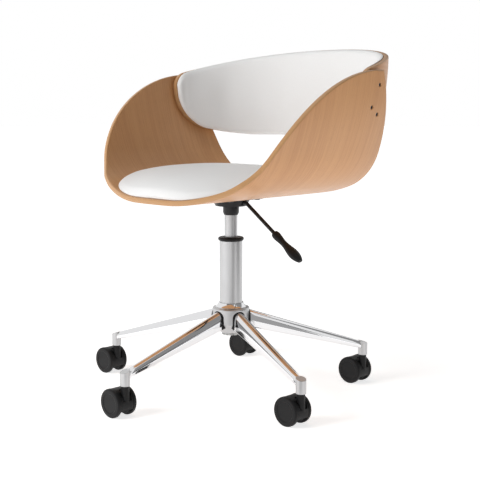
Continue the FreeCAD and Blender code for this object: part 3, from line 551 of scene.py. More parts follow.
def new_piece(name: str, mesh: bpy.types.Mesh) -> bpy.types.Object:
    """Puts a mesh into the scene.

    Args:
        name: The piece's name.
        mesh: Its mesh, in the row frame.

    Returns:
        The new object, unturned at the origin.
    """
    piece = bpy.data.objects.new(name, mesh)
    bpy.context.scene.collection.objects.link(piece)
    return piece


def settle(piece: bpy.types.Object) -> None:
    """Turns a piece's modifiers into a plain mesh.

    Args:
        piece: The piece.
    """
    graph = bpy.context.evaluated_depsgraph_get()
    finished = bpy.data.meshes.new_from_object(piece.evaluated_get(graph))
    piece.modifiers.clear()
    piece.data = finished


def face_out(mesh: bpy.types.Mesh) -> None:
    """Turns the faces of a closed mesh outwards.

    Args:
        mesh: The mesh.
    """
    work = bmesh.new()
    work.from_mesh(mesh)
    bmesh.ops.recalc_face_normals(work, faces=work.faces[:])
    work.to_mesh(mesh)
    work.free()


class Pattern(NodeMaker):
    """A Geometry Nodes tree with named inputs that repeats a form."""

    GEOMETRY = "Geometry"
    MATERIAL = "Material"

    def __init__(self, name: str, inputs: dict[str, str]) -> None:
        """Starts the tree.

        Args:
            name: The tree's name.
            inputs: The socket type of each input.
        """
        tree = bpy.data.node_groups.new(name, "GeometryNodeTree")
        super().__init__(tree)
        face = tree.interface
        face.new_socket(self.GEOMETRY, in_out="INPUT", socket_type="NodeSocketGeometry")
        self.keys: dict[str, str] = {}
        for key, kind in {**inputs, self.MATERIAL: "NodeSocketMaterial"}.items():
            socket = face.new_socket(key, in_out="INPUT", socket_type=kind)
            self.keys[key] = socket.identifier
        face.new_socket(self.GEOMETRY, in_out="OUTPUT", socket_type="NodeSocketGeometry")
        self.entry = tree.nodes.new("NodeGroupInput")

    def given(self, name: str) -> Signal:
        """Returns the signal of the input with a name."""
        return Signal(self.tree, self.entry.outputs[name])

    def close(self, instances: Signal) -> None:
        """Ends the tree in a plain, finished mesh.

        Args:
            instances: What the tree has made.
        """
        plain = self.add("GeometryNodeRealizeInstances", {}, {0: instances})
        sockets = {"Geometry": plain, "Material": self.given(self.MATERIAL)}
        finished = self.add("GeometryNodeSetMaterial", {}, sockets)
        self.tree.links.new(finished.socket, self.tree.nodes.new("NodeGroupOutput").inputs[0])

    def run(self, piece: bpy.types.Object, values: dict) -> None:
        """Runs the tree on a piece and leaves a plain mesh.

        Args:
            piece: The piece that gives the tree its geometry.
            values: The inputs by name.
        """
        modifier = piece.modifiers.new(self.tree.name, "NODES")
        modifier.node_group = self.tree
        for name, value in values.items():
            modifier[self.keys[name]] = value
        settle(piece)


class StarPattern(Pattern):
    """Repeats a piece evenly round the upright axis."""

    COUNT = "Count"

    def __init__(self) -> None:
        """Builds the tree."""
        super().__init__("star_pattern", {self.COUNT: "NodeSocketInt"})
        single = self.add("GeometryNodeGeometryToInstance", {}, {0: self.given(self.GEOMETRY)})
        node = self.tree.nodes.new("GeometryNodeDuplicateElements")
        node.domain = "INSTANCE"
        self.tree.links.new(single.socket, node.inputs["Geometry"])
        self.tree.links.new(self.given(self.COUNT).socket, node.inputs["Amount"])
        turn = Signal(self.tree, node.outputs["Duplicate Index"]) * math.tau / self.given(self.COUNT)
        spin = self.add("ShaderNodeCombineXYZ", {}, {"Z": turn})
        copies = Signal(self.tree, node.outputs["Geometry"])
        self.close(self.add("GeometryNodeRotateInstances", {}, {"Instances": copies, "Rotation": spin}))


class FastenerPattern(Pattern):
    """Puts a fastener on each point, turned to face out of the surface."""

    HEAD = "Head"
    FACING = "facing"

    def __init__(self) -> None:
        """Builds the tree."""
        super().__init__("fastener_pattern", {self.HEAD: "NodeSocketObject"})
        head = self.add("GeometryNodeObjectInfo", {}, {"Object": self.given(self.HEAD)}, "Geometry")
        kind = {"data_type": "FLOAT_VECTOR"}
        facing = self.add("GeometryNodeInputNamedAttribute", kind, {"Name": self.FACING})
        turn = self.add("FunctionNodeAlignRotationToVector", {"axis": "Z"}, {"Vector": facing})
        points = self.add("GeometryNodeMeshToPoints", {}, {"Mesh": self.given(self.GEOMETRY)})
        sockets = {"Points": points, "Instance": head, "Rotation": turn}
        self.close(self.add("GeometryNodeInstanceOnPoints", {}, sockets))


def unit(vectors: np.ndarray) -> np.ndarray:
    """Scales vectors to length 1.

    Args:
        vectors: The vectors, along the last axis.

    Returns:
        The unit vectors.
    """
    return vectors / np.maximum(np.linalg.norm(vectors, axis=-1, keepdims=True), TINY)


def pushed(line: np.ndarray, distance: float) -> np.ndarray:
    """Moves a flat line to its left.

    Args:
        line: The points, one row each.
        distance: How far.

    Returns:
        The moved points.
    """
    ahead = unit(np.gradient(line, axis=0))
    return line + distance * np.stack([-ahead[:, 1], ahead[:, 0]], axis=1)


def eased(line: np.ndarray, passes: int) -> np.ndarray:
    """Returns a line with its corners eased and its ends kept.

    Args:
        line: The points, one per row.
        passes: How often each point is averaged with its neighbours.

    Returns:
        The eased points.
    """
    points = line.copy()
    for _ in range(passes):
        points[1:-1] = (points[:-2] + 2.0 * points[1:-1] + points[2:]) / 4.0
    return points


def travelled(line: np.ndarray) -> np.ndarray:
    """Measures along a line.

    Args:
        line: The points, one row each.

    Returns:
        The length from the first point to each one.
    """
    spans = np.linalg.norm(np.diff(line, axis=0), axis=1)
    return np.concatenate([[0.0], np.cumsum(spans)])


def arc(start: Sequence[float], middle: Sequence[float], end: Sequence[float], count: int) -> np.ndarray:
    """Draws an arc through three flat points.

    Args:
        start: The first point.
        middle: A point on the arc.
        end: The last point.
        count: How many points to draw.

    Returns:
        The points, one row each.
    """
    (ax, ay), (bx, by), (cx, cy) = start, middle, end
    turn = 2.0 * (ax * (by - cy) + bx * (cy - ay) + cx * (ay - by))
    sums = [x * x + y * y for x, y in (start, middle, end)]
    x = (sums[0] * (by - cy) + sums[1] * (cy - ay) + sums[2] * (ay - by)) / turn
    y = (sums[0] * (cx - bx) + sums[1] * (ax - cx) + sums[2] * (bx - ax)) / turn
    angles = np.unwrap([math.atan2(py - y, px - x) for px, py in (start, middle, end)])
    around = np.linspace(angles[0], angles[2], count)
    radius = math.hypot(ax - x, ay - y)
    return np.stack([x + radius * np.cos(around), y + radius * np.sin(around)], axis=1)


@dataclass
class SheetMesh:
    """A thick sheet over a grid of its middle, with rounded rims."""

    COORDINATES = "grain"
    DEPTH = "ply_depth"
    RIM = "ply_rim"

    middle: np.ndarray
    grain: np.ndarray
    outside: Vector
    ply: float
    rounding: float
    steps: int = 10
    fullness: float = 0.62

    def mesh(self, name: str) -> bpy.types.Mesh:
        """Builds the mesh.

        Args:
            name: The mesh's name.

        Returns:
            A closed mesh with grain coordinates and ply attributes.
        """
        columns = self.middle.shape[1]
        normal, ahead = self._normals()
        half = self.ply / 2.0
        border = self._border()
        index = np.array([i * columns + j for i, j in border])
        edge = self.middle.reshape(-1, 3)[index]
        up = normal.reshape(-1, 3)[index]
        along = unit(np.roll(edge, -1, axis=0) - np.roll(edge, 1, axis=0))
        out = self._outwards(border, edge, np.cross(along, up))
        sides = [self.middle + half * normal, self.middle - half * normal]
        rims = [edge + self.rounding * reach * out + half * lift * up for lift, reach, _ in self._section()]
        vertices = np.concatenate([side.reshape(-1, 3) for side in sides] + rims)
        turned = float(np.sum(np.cross(along, out) * up)) > 0.0
        mesh = bpy.data.meshes.new(name)
        mesh.from_pydata(vertices.tolist(), [], self._side_faces(ahead) + self._rim_faces(index, turned))
        self._mark(mesh, index)
        mesh.shade_smooth()
        face_out(mesh)
        return mesh

    def _normals(self) -> tuple[np.ndarray, bool]:
        """Finds the way out of the sheet.

        Returns:
            The unit normals, and whether the grid's own order of rows and columns gives them.
        """
        rows, columns = self.middle.shape[:2]
        normal = unit(np.cross(np.gradient(self.middle, axis=0), np.gradient(self.middle, axis=1)))
        ahead = bool(normal[rows // 2, columns // 2] @ np.array(self.outside) >= 0.0)
        return (normal if ahead else -normal), ahead

    def _border(self) -> list[tuple[int, int]]:
        """Goes once round the grid.

        Returns:
            The rows and columns of its border.
        """
        rows, columns = self.middle.shape[:2]
        border = [(i, 0) for i in range(rows)]
        border += [(rows - 1, j) for j in range(1, columns)]
        border += [(i, columns - 1) for i in range(rows - 2, -1, -1)]
        border += [(0, j) for j in range(columns - 2, 0, -1)]
        return border

    def _outwards(self, border: list[tuple[int, int]], edge: np.ndarray, across: np.ndarray) -> np.ndarray:
        """Finds the way out over the rim.

        Args:
            border: The border's rows and columns.
            edge: The border's points.
            across: Vectors across the border, all to one side of it.

        Returns:
            Unit vectors that point away from the sheet.
        """
        rows, columns = self.middle.shape[:2]
        inner = [(min(max(i, 1), rows - 2), min(max(j, 1), columns - 2)) for i, j in border]
        inward = np.array([self.middle[i, j] for i, j in inner]) - edge
        out = unit(across)
        wrong = np.sum(out * inward, axis=1) > 0.0
        return -out if np.sum(wrong) > len(border) / 2 else out

    def _section(self) -> list[tuple[float, float, float]]:
        """Draws the rim's section from the outer side to the inner one.

        Returns:
            The lift over the middle, the reach past the border and how much rim shows, as shares.
        """
        section = []
        for step in range(1, self.steps):
            angle = math.pi * (0.5 - step / self.steps)
            lift = math.copysign(abs(math.sin(angle)) ** self.fullness, angle)
            reach = math.cos(angle) ** self.fullness
            section.append((lift, reach, min(1.0, 2.0 * math.cos(angle))))
        return section

    def _side_faces(self, ahead: bool) -> list[tuple[int, ...]]:
        """Lays the faces of both sides.

        Args:
            ahead: Whether the grid's own order faces outwards.

        Returns:
            The faces.
        """
        rows, columns = self.middle.shape[:2]
        count = rows * columns
        faces = []
        for i in range(rows - 1):
            for j in range(columns - 1):
                a, b = i * columns + j, (i + 1) * columns + j
                outer = (a, b, b + 1, a + 1) if ahead else (a, a + 1, b + 1, b)
                faces.append(outer)
                faces.append(tuple(count + k for k in reversed(outer)))
        return faces

    def _rim_faces(self, index: np.ndarray, turned: bool) -> list[tuple[int, ...]]:
        """Lays the faces of the rim.

        Args:
            index: The border's vertices on the outer side.
            turned: Whether the faces run the other way round.

        Returns:
            The faces.
        """
        rows, columns = self.middle.shape[:2]
        count, length = rows * columns, len(index)
        rings = [index]
        rings += [2 * count + step * length + np.arange(length) for step in range(self.steps - 1)]
        rings.append(index + count)
        faces = []
        for first, second in zip(rings, rings[1:]):
            for k in range(length):
                n = (k + 1) % length
                face = (first[k], second[k], second[n], first[n])
                faces.append(tuple(int(v) for v in (reversed(face) if turned else face)))
        return faces

    def _mark(self, mesh: bpy.types.Mesh, index: np.ndarray) -> None:
        """Stores the grain coordinates and the ply attributes.

        Args:
            mesh: The new mesh.
            index: The border's vertices on the outer side.
        """
        flat = self.grain.reshape(-1, 2)
        count, length = len(flat), len(index)
        section = self._section()
        depth = [np.ones(count), -np.ones(count)] + [np.full(length, lift) for lift, _, _ in section]
        rim = [np.zeros(2 * count)] + [np.full(length, shown) for _, _, shown in section]
        grain = np.concatenate([flat, flat] + [flat[index]] * len(section))
        for name, values in ((self.DEPTH, depth), (self.RIM, rim)):
            attribute = mesh.attributes.new(name, "FLOAT", "POINT")
            attribute.data.foreach_set("value", np.concatenate(values).astype(np.float32))
        corners = np.empty(len(mesh.loops), dtype=np.int32)
        mesh.loops.foreach_get("vertex_index", corners)
        layer = mesh.uv_layers.new(name=self.COORDINATES)
        layer.data.foreach_set("uv", grain[corners].astype(np.float32).ravel())


@dataclass(frozen=True)
class BentProfile:
    """Cross-section of the seat sheet: a flat floor, a dish, a tight corner and a nearly upright wall."""

    ply: float = 11.0 * MM
    flat: float = 45.0 * MM
    radii: tuple[float, float, float] = (378.0 * MM, 139.0 * MM, 485.0 * MM)
    turns: tuple[float, float, float] = (math.radians(19.0), math.radians(66.0), math.radians(88.0))
    samples: int = 1400

    def slopes(self) -> np.ndarray:
        """Returns closely spaced slopes from the floor to the top of the wall."""
        return np.linspace(0.0, self.turns[-1], self.samples)

    def at(self, slope: np.ndarray, offset: float = 0.0) -> tuple[np.ndarray, np.ndarray]:
        """Finds the section's point at a slope.

        Args:
            slope: The slope of the sheet, from 0 at the floor.
            offset: How far inside the middle of the ply.

        Returns:
            The half width and the height over the floor's underside.
        """
        x = np.full_like(slope, self.flat)
        z = np.full_like(slope, self.ply / 2.0 + offset)
        before = 0.0
        for radius, turn in zip(self.radii, self.turns):
            bend = radius - offset
            here = np.clip(slope, before, turn)
            x = x + bend * (np.sin(here) - math.sin(before))
            z = z + bend * (math.cos(before) - np.cos(here))
            before = turn
        return x, z

    def length(self, slope: np.ndarray) -> np.ndarray:
        """Measures the sheet from its middle.

        Args:
            slope: The slope reached.

        Returns:
            The length along the middle of the ply.
        """
        total = np.full_like(slope, self.flat)
        before = 0.0
        for radius, turn in zip(self.radii, self.turns):
            total = total + radius * (np.clip(slope, before, turn) - before)
            before = turn
        return total

    def slope_at_height(self, height: np.ndarray, offset: float = 0.0) -> np.ndarray:
        """Finds the slope at a height over the floor's underside, so far inside the middle of the ply."""
        slopes = self.slopes()
        return np.interp(height, self.at(slopes, offset)[1], slopes)


@dataclass(frozen=True)
class SeatPlan:
    """How the seat sheet narrows to the back."""

    centre: float = 85.0 * MM
    depth: float = 345.0 * MM
    power: float = 2.2
    least: float = 0.001

    def share(self, y: np.ndarray) -> np.ndarray:
        """Returns the share of the full width at a depth, 1 in front of the plan's centre."""
        back = np.clip((y - self.centre) / self.depth, 0.0, 1.0)
        return (1.0 - back**self.power) ** (1.0 / self.power)


@dataclass
class SeatSheet:
    """The bent sheet that makes the seat floor and both wings."""

    palette: Palette
    base: float
    profile: BentProfile = field(default_factory=BentProfile)
    plan: SeatPlan = field(default_factory=SeatPlan)
    rounding: float = 3.0 * MM
    front: float = -230.0 * MM
    front_radius: float = 460.0 * MM
    # The near wing's outline from the side, as (y, z) over the floor's underside.
    toe: tuple[float, float] = (-241.0 * MM, 6.0 * MM)
    sweep: tuple[float, float] = (-187.0 * MM, 41.0 * MM)
    arch_centre: tuple[float, float] = (140.0 * MM, -56.0 * MM)
    arch_radius: float = 325.0 * MM
    arch_end: float = math.radians(156.5)
    easing: int = 24
    rear: tuple[tuple[float, float], ...] = (
        (207.0 * MM, -11.0 * MM),
        (190.0 * MM, 134.0 * MM),
        (146.0 * MM, 269.0 * MM),
    )
    # How finely the outline and the grid are drawn.
    columns: int = 56
    toe_points: int = 24
    arch_points: int = 90
    rear_points: int = 60
    wall_start: float = 20.0 * MM
    dish_points: int = 16
    flat_points: int = 5

    def front_line(self) -> np.ndarray:
        """Draws the wing's front outline from toe to top, inside the rounding.

        Returns:
            The outline as (y, z) rows.
        """
        around = np.linspace(self.arch_end, math.pi / 2.0, self.arch_points)
        arch = self.arch_centre + self.arch_radius * np.stack([np.cos(around), np.sin(around)], axis=1)
        line = np.concatenate([arc(self.toe, self.sweep, arch[0], self.toe_points)[:-1], arch])
        return pushed(eased(line, self.easing), -self.rounding)

    def rear_line(self) -> np.ndarray:
        """Returns the rear outline from floor to top as (y, z) rows, inside the rounding."""
        return pushed(arc(*self.rear, self.rear_points), self.rounding)

    def near_half(self) -> tuple[np.ndarray, np.ndarray]:
        """Spreads a grid over the middle of the ply, from the floor's middle to the near wing's top.

        Returns:
            The points over the floor's underside, by row and column, and each row's length along the bend.
        """
        front, rear = self.front_line(), self.rear_line()
        top = self.arch_centre[1] + self.arch_radius - self.rounding
        rise = front[:, 1]
        heights = rise[(rise > self.wall_start) & (rise < top)]
        wall = self.profile.slope_at_height(np.append(np.sort(heights), top))
        dish = np.linspace(0.0, wall[0], self.dish_points)[1:-1]
        slopes = np.concatenate([dish, wall])
        flat = np.linspace(0.0, self.profile.flat, self.flat_points + 1)[:-1]
        lengths = np.concatenate([flat, self.profile.length(slopes)])
        half_x, height = self.profile.at(np.concatenate([np.zeros(self.flat_points), slopes]))
        half_x[: self.flat_points] = flat
        lip = self.front_radius - np.sqrt(self.front_radius**2 - half_x**2)
        start = np.maximum(np.interp(height, rise, front[:, 0]), self.front + self.rounding + lip)
        end = np.interp(height, rear[:, 1], rear[:, 0])
        across = np.linspace(0.0, 1.0, self.columns)
        y = start[:, None] + (end - start)[:, None] * across
        x = half_x[:, None] * self.plan.share(y)
        z = np.broadcast_to(height[:, None], y.shape)
        return np.stack([x, y, z], axis=2), lengths

    def build(self) -> bpy.types.Object:
        """Builds the sheet.

        Returns:
            The finished sheet.
        """
        near, reach = self.near_half()
        far = near[:0:-1] * np.array([-1.0, 1.0, 1.0])
        middle = np.concatenate([far, near]) + np.array([0.0, 0.0, self.base])
        lengths = np.concatenate([-reach[:0:-1], reach])
        depth = middle[..., 1]
        grain = np.stack([np.broadcast_to(lengths[:, None], depth.shape), depth], axis=2)
        sheet = SheetMesh(middle, grain, Vector((0.0, 0.0, -1.0)), self.profile.ply, self.rounding)
        piece = new_piece("seat_sheet", sheet.mesh("seat_sheet"))
        self.palette.coat(piece, Slot.VENEER)
        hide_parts("seat_shell")
        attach(piece, Body.SEAT.value)
        log.info("seat_sheet: %d faces", len(piece.data.polygons))
        return piece

    def middle_point(self, y: float, height: float) -> Vector:
        """Finds a place in the middle of the near wing's ply.

        Args:
            y: The place in depth.
            height: The height over the floor's underside.

        Returns:
            The point.
        """
        slope = self.profile.slope_at_height(np.array([height]))
        x = self.profile.at(slope)[0] * self.plan.share(np.array([y]))
        return Vector((float(x[0]), y, height + self.base))

    def outer_point(self, y: float, height: float) -> tuple[Vector, Vector]:
        """Finds a place on the outside of the near wing.

        Args:
            y: The place in depth.
            height: The height over the floor's underside.

        Returns:
            The point and the way out of the ply.
        """
        centre = self.middle_point(y, height)
        back = self.middle_point(y + MM, height) - centre
        up = self.middle_point(y, height + MM) - centre
        out = back.cross(up).normalized()
        out = out if out.x > 0.0 else -out
        return centre + out * (self.profile.ply / 2.0), out

    def inner_height(self, x: np.ndarray, y: np.ndarray) -> np.ndarray:
        """Finds the top of the seat floor.

        Args:
            x: Places across.
            y: Places in depth.

        Returns:
            The height of the sheet's inner face.
        """
        half_x, height = self.profile.at(self.profile.slopes(), self.profile.ply / 2.0)
        wide = np.abs(x) / np.maximum(self.plan.share(y), self.plan.least)
        return self.base + np.interp(wide, half_x, height)


@dataclass(frozen=True)
class ScrewHead:
    """A countersunk head with a hexagon socket, its top at the origin."""

    radius: float
    height: float
    socket: float
    socket_depth: float
    softness: float = 0.2
    sides: int = 32

    def mesh(self, name: str) -> bpy.types.Mesh:
        """Builds the head.

        Args:
            name: The mesh's name.

        Returns:
            A closed mesh that faces up.
        """
        work = bmesh.new()
        soft = self.height * self.softness
        rings = [
            self._ring(work, self.radius, -self.height),
            self._ring(work, self.radius, -soft),
            self._ring(work, self.radius - soft, 0.0),
            self._ring(work, self.socket, 0.0, 1.0),
            self._ring(work, self.socket, -self.socket_depth, 1.0),
        ]
        for low, high in zip(rings, rings[1:]):
            for k in range(self.sides):
                n = (k + 1) % self.sides
                work.faces.new((low[k], low[n], high[n], high[k]))
        work.faces.new(list(reversed(rings[0])))
        work.faces.new(rings[-1])
        bmesh.ops.recalc_face_normals(work, faces=work.faces[:])
        mesh = bpy.data.meshes.new(name)
        work.to_mesh(mesh)
        work.free()
        return mesh

    def _ring(
        self, work: bmesh.types.BMesh, radius: float, z: float, corners: float = 0.0
    ) -> list[bmesh.types.BMVert]:
        """Adds one ring of vertices.

        Args:
            work: The mesh in the making.
            radius: How far out the ring goes.
            z: Its height.
            corners: 0 for a circle, 1 for a hexagon.

        Returns:
            The vertices in order.
        """
        side = math.pi / 3.0
        made = []
        for k in range(self.sides):
            turn = math.tau * k / self.sides
            local = (turn % side) - side / 2.0
            hexagon = math.cos(side / 2.0) / math.cos(local)
            reach = radius * (1.0 + corners * (hexagon - 1.0))
            made.append(work.verts.new((reach * math.cos(turn), reach * math.sin(turn), z)))
        return made


@dataclass
class WingScrews:
    """Three screws through each wing into the band, sunk into counterbores."""

    palette: Palette
    seat: SeatSheet
    pattern: FastenerPattern
    spots: tuple[tuple[float, float], ...] = (
        (134.0 * MM, 239.0 * MM),
        (117.0 * MM, 194.0 * MM),
        (141.0 * MM, 180.0 * MM),
    )
    head: ScrewHead = ScrewHead(3.6 * MM, 2.4 * MM, 1.9 * MM, 1.6 * MM)
    sunk: float = 1.1 * MM
    bore: float = 4.3 * MM
    bore_sides: int = 28

    def places(self) -> list[tuple[Vector, Vector]]:
        """Finds the screws' places on both wings.

        Returns:
            The point on the ply and the way out of it for each screw.
        """
        mirror = Matrix.Diagonal((-1.0, 1.0, 1.0))
        found = []
        for y, height in self.spots:
            point, out = self.seat.outer_point(y, height)
            found.append((point, out))
            found.append((mirror @ point, mirror @ out))
        return found

    def bore_sheet(self, sheet: bpy.types.Object) -> None:
        """Cuts the counterbores.

        Args:
            sheet: The seat sheet.
        """
        work = bmesh.new()
        deep = self.sunk + self.head.height
        for point, out in self.places():
            bmesh.ops.create_cone(
                work,
                cap_ends=True,
                segments=self.bore_sides,
                radius1=self.bore,
                radius2=self.bore,
                depth=2.0 * deep,
                matrix=Matrix.Translation(point) @ out.to_track_quat("Z", "Y").to_matrix().to_4x4(),
            )
        mesh = bpy.data.meshes.new("bores")
        work.to_mesh(mesh)
        work.free()
        cutter = new_piece("bores", mesh)
        cut = sheet.modifiers.new("bores", "BOOLEAN")
        cut.operation = "DIFFERENCE"
        cut.solver = "EXACT"
        cut.object = cutter
        settle(sheet)
        bpy.data.objects.remove(cutter)

    def build(self) -> bpy.types.Object:
        """Builds the six screws as one piece.

        Returns:
            The finished screws.
        """
        places = self.places()
        mesh = bpy.data.meshes.new("wing_screws")
        mesh.from_pydata([point - out * self.sunk for point, out in places], [], [])
        facing = mesh.attributes.new(FastenerPattern.FACING, "FLOAT_VECTOR", "POINT")
        facing.data.foreach_set("vector", [c for _, out in places for c in out])
        piece = new_piece("wing_screws", mesh)
        template = new_piece("screw_head", self.head.mesh("screw_head"))
        material = self.palette.materials[Slot.DARK_STEEL]
        self.pattern.run(piece, {FastenerPattern.HEAD: template, Pattern.MATERIAL: material})
        bpy.data.objects.remove(template)
        self.palette.coat(piece, Slot.DARK_STEEL)
        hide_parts("backrest_screws")
        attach(piece, Body.SEAT.value)
        log.info("wing_screws: %d faces", len(piece.data.polygons))
        return piece


@dataclass
class BackBand:
    """The bent band that closes the bucket at the back, inside the wings."""

    palette: Palette
    seat: SeatSheet
    gap: float = 0.4 * MM
    rounding: float = 3.0 * MM
    depth: float = 248.0 * MM
    depth_height: float = 309.0 * MM
    lean: float = math.radians(3.0)
    # The outline from the side, as (y, z) over the seat floor's underside.
    top: tuple[float, float] = (345.0 * MM, 328.0 * MM)
    nose_top: tuple[float, float] = (115.0 * MM, 273.0 * MM)
    nose: tuple[float, float] = (86.0 * MM, 222.0 * MM)
    chin: tuple[float, float] = (100.0 * MM, 180.0 * MM)
    jaw: tuple[float, float] = (165.0 * MM, 140.5 * MM)
    under_jaw: tuple[float, float] = (207.5 * MM, 131.5 * MM)
    brow: tuple[float, float] = (90.5 * MM, 253.5 * MM)
    low: tuple[float, float] = (250.0 * MM, 125.5 * MM)
    # How finely the outlines and the grid are drawn.
    rows: int = 44
    columns: int = 30
    chin_points: int = 30
    jaw_points: int = 16
    low_points: int = 12
    brow_points: int = 20
    top_points: int = 40
    # How the grid runs past the back and keeps clear of the noses.
    overrun: float = 30.0 * MM
    nose_rows: int = 14
    nose_crowding: float = 1.8
    nose_ease: float = 40.0 * MM
    nose_clear: float = 0.4 * MM
    least_height: float = 1.0 * MM
    settling: int = 6
    grain_start: float = 2.0

    def half_sizes(self, height: np.ndarray, offset: float) -> tuple[np.ndarray, np.ndarray]:
        """Finds the band's plan at a height.

        Args:
            height: The height over the seat floor's underside.
            offset: How far inside the band's outer face.

        Returns:
            The half width and the half depth of the plan.
        """
        profile = self.seat.profile
        inside = profile.ply / 2.0 + self.gap
        slope = profile.slope_at_height(height, inside)
        wide = profile.at(slope, inside)[0] - offset
        deep = self.depth + math.tan(self.lean) * (height - self.depth_height) - offset
        return wide, deep

    def point(self, around: np.ndarray, height: np.ndarray, offset: float) -> np.ndarray:
        """Finds points on the band.

        Args:
            around: The angle round the plan, 0 at the near end and half a turn at the far end.
            height: The height over the seat floor's underside.
            offset: How far inside the band's outer face.

        Returns:
            The points along a last axis.
        """
        wide, deep = self.half_sizes(height, offset)
        bend = 2.0 / self.seat.plan.power
        cosine, sine = np.cos(around), np.maximum(np.sin(around), 0.0)
        x = wide * np.sign(cosine) * np.abs(cosine) ** bend
        y = self.seat.plan.centre + deep * sine**bend
        return np.stack([x, y, self.seat.base + height], axis=-1)

    def outlines(self, inset: float) -> tuple[np.ndarray, np.ndarray]:
        """Draws the band's side outlines from the nose back.

        Args:
            inset: How far inside the real outline.

        Returns:
            The lower and the upper outline as (y, z) rows.
        """
        far = (self.seat.plan.centre + self.depth + self.overrun, self.low[1])
        chin = arc(self.nose, self.chin, self.jaw, self.chin_points)
        jaw = arc(self.jaw, self.under_jaw, self.low, self.jaw_points)
        lower = np.concatenate([chin[:-1], jaw[:-1], np.linspace(self.low, far, self.low_points)])
        slope = (self.top[1] - self.nose_top[1]) / (self.top[0] - self.nose_top[0])
        rear = (far[0], self.nose_top[1] + slope * (far[0] - self.nose_top[0]))
        brow = arc(self.nose, self.brow, self.nose_top, self.brow_points)
        upper = np.concatenate([brow[:-1], np.linspace(self.nose_top, rear, self.top_points)])
        return pushed(lower, inset), pushed(upper, -inset)

    def set_back(self, line: np.ndarray, shift: float) -> np.ndarray:
        """Moves the nose of an outline back by a shift that eases off behind it."""
        ease = np.clip((self.nose_top[0] + self.nose_ease - line[:, 0]) / self.nose_ease, 0.0, 1.0)
        return line + np.stack([ease * shift, np.zeros_like(ease)], axis=1)

    def grid(
        self, inset: float, nose_inset: float, offset: float, across: np.ndarray
    ) -> tuple[np.ndarray, np.ndarray]:
        """Spreads a grid over the band.

        Args:
            inset: How far inside the outline at the top and bottom.
            nose_inset: How far behind the noses.
            offset: How far inside the band's outer face.
            across: The places from the bottom, 0, to the top, 1.

        Returns:
            The angle round the plan and the height over the seat floor's underside, by row and column.
        """
        lower, upper = self.outlines(inset)
        shift = max(nose_inset - inset, 0.0)
        start = max(lower[0, 0], upper[0, 0]) + shift + self.nose_clear
        lower, upper = self.set_back(lower, shift), self.set_back(upper, shift)
        bend = 2.0 / self.seat.plan.power
        crowded = np.linspace(0.0, 1.0, self.nose_rows) ** self.nose_crowding
        near = start + (self.nose_top[0] - start) * crowded
        deep = self.depth - offset
        first = np.arcsin(np.clip((near - self.seat.plan.centre) / deep, 0.0, 1.0) ** (1.0 / bend))
        quarter = np.concatenate([first[:-1], np.linspace(first[-1], math.pi / 2.0, self.rows)])
        around = np.concatenate([quarter, math.pi - quarter[-2::-1]])
        height = np.full((len(around), len(across)), self.nose[1])
        turn = np.broadcast_to(around[:, None], height.shape)
        for _ in range(self.settling):
            y = self.point(turn, height, offset)[..., 1]
            low = np.interp(y, lower[:, 0], lower[:, 1])
            high = np.interp(y, upper[:, 0], upper[:, 1])
            height = low + across * np.maximum(high - low, self.least_height)
        return turn, height

    def build(self) -> bpy.types.Object:
        """Builds the band.

        Returns:
            The finished band.
        """
        half = self.seat.profile.ply / 2.0
        turn, height = self.grid(self.rounding, 0.0, half, np.linspace(0.0, 1.0, self.columns))
        middle = self.point(turn, height, half)
        lengths = self.grain_start + travelled(middle[:, self.columns // 2])
        grain = np.stack([np.broadcast_to(lengths[:, None], height.shape), height], axis=2)
        sheet = SheetMesh(middle, grain, Vector((0.0, 1.0, 0.0)), self.seat.profile.ply, self.rounding)
        piece = new_piece("back_band", sheet.mesh("back_band"))
        self.palette.coat(piece, Slot.VENEER)
        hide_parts("backrest_shell")
        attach(piece, Body.SEAT.value)
        log.info("back_band: %d faces", len(piece.data.polygons))
        return piece


def rounded(share: np.ndarray) -> np.ndarray:
    """Rises like a quarter circle.

    Args:
        share: How far in from an edge, 1 where the rounding ends.

    Returns:
        The height, from 0 to 1.
    """
    return np.sqrt(1.0 - (1.0 - np.clip(share, 0.0, 1.0)) ** 2)


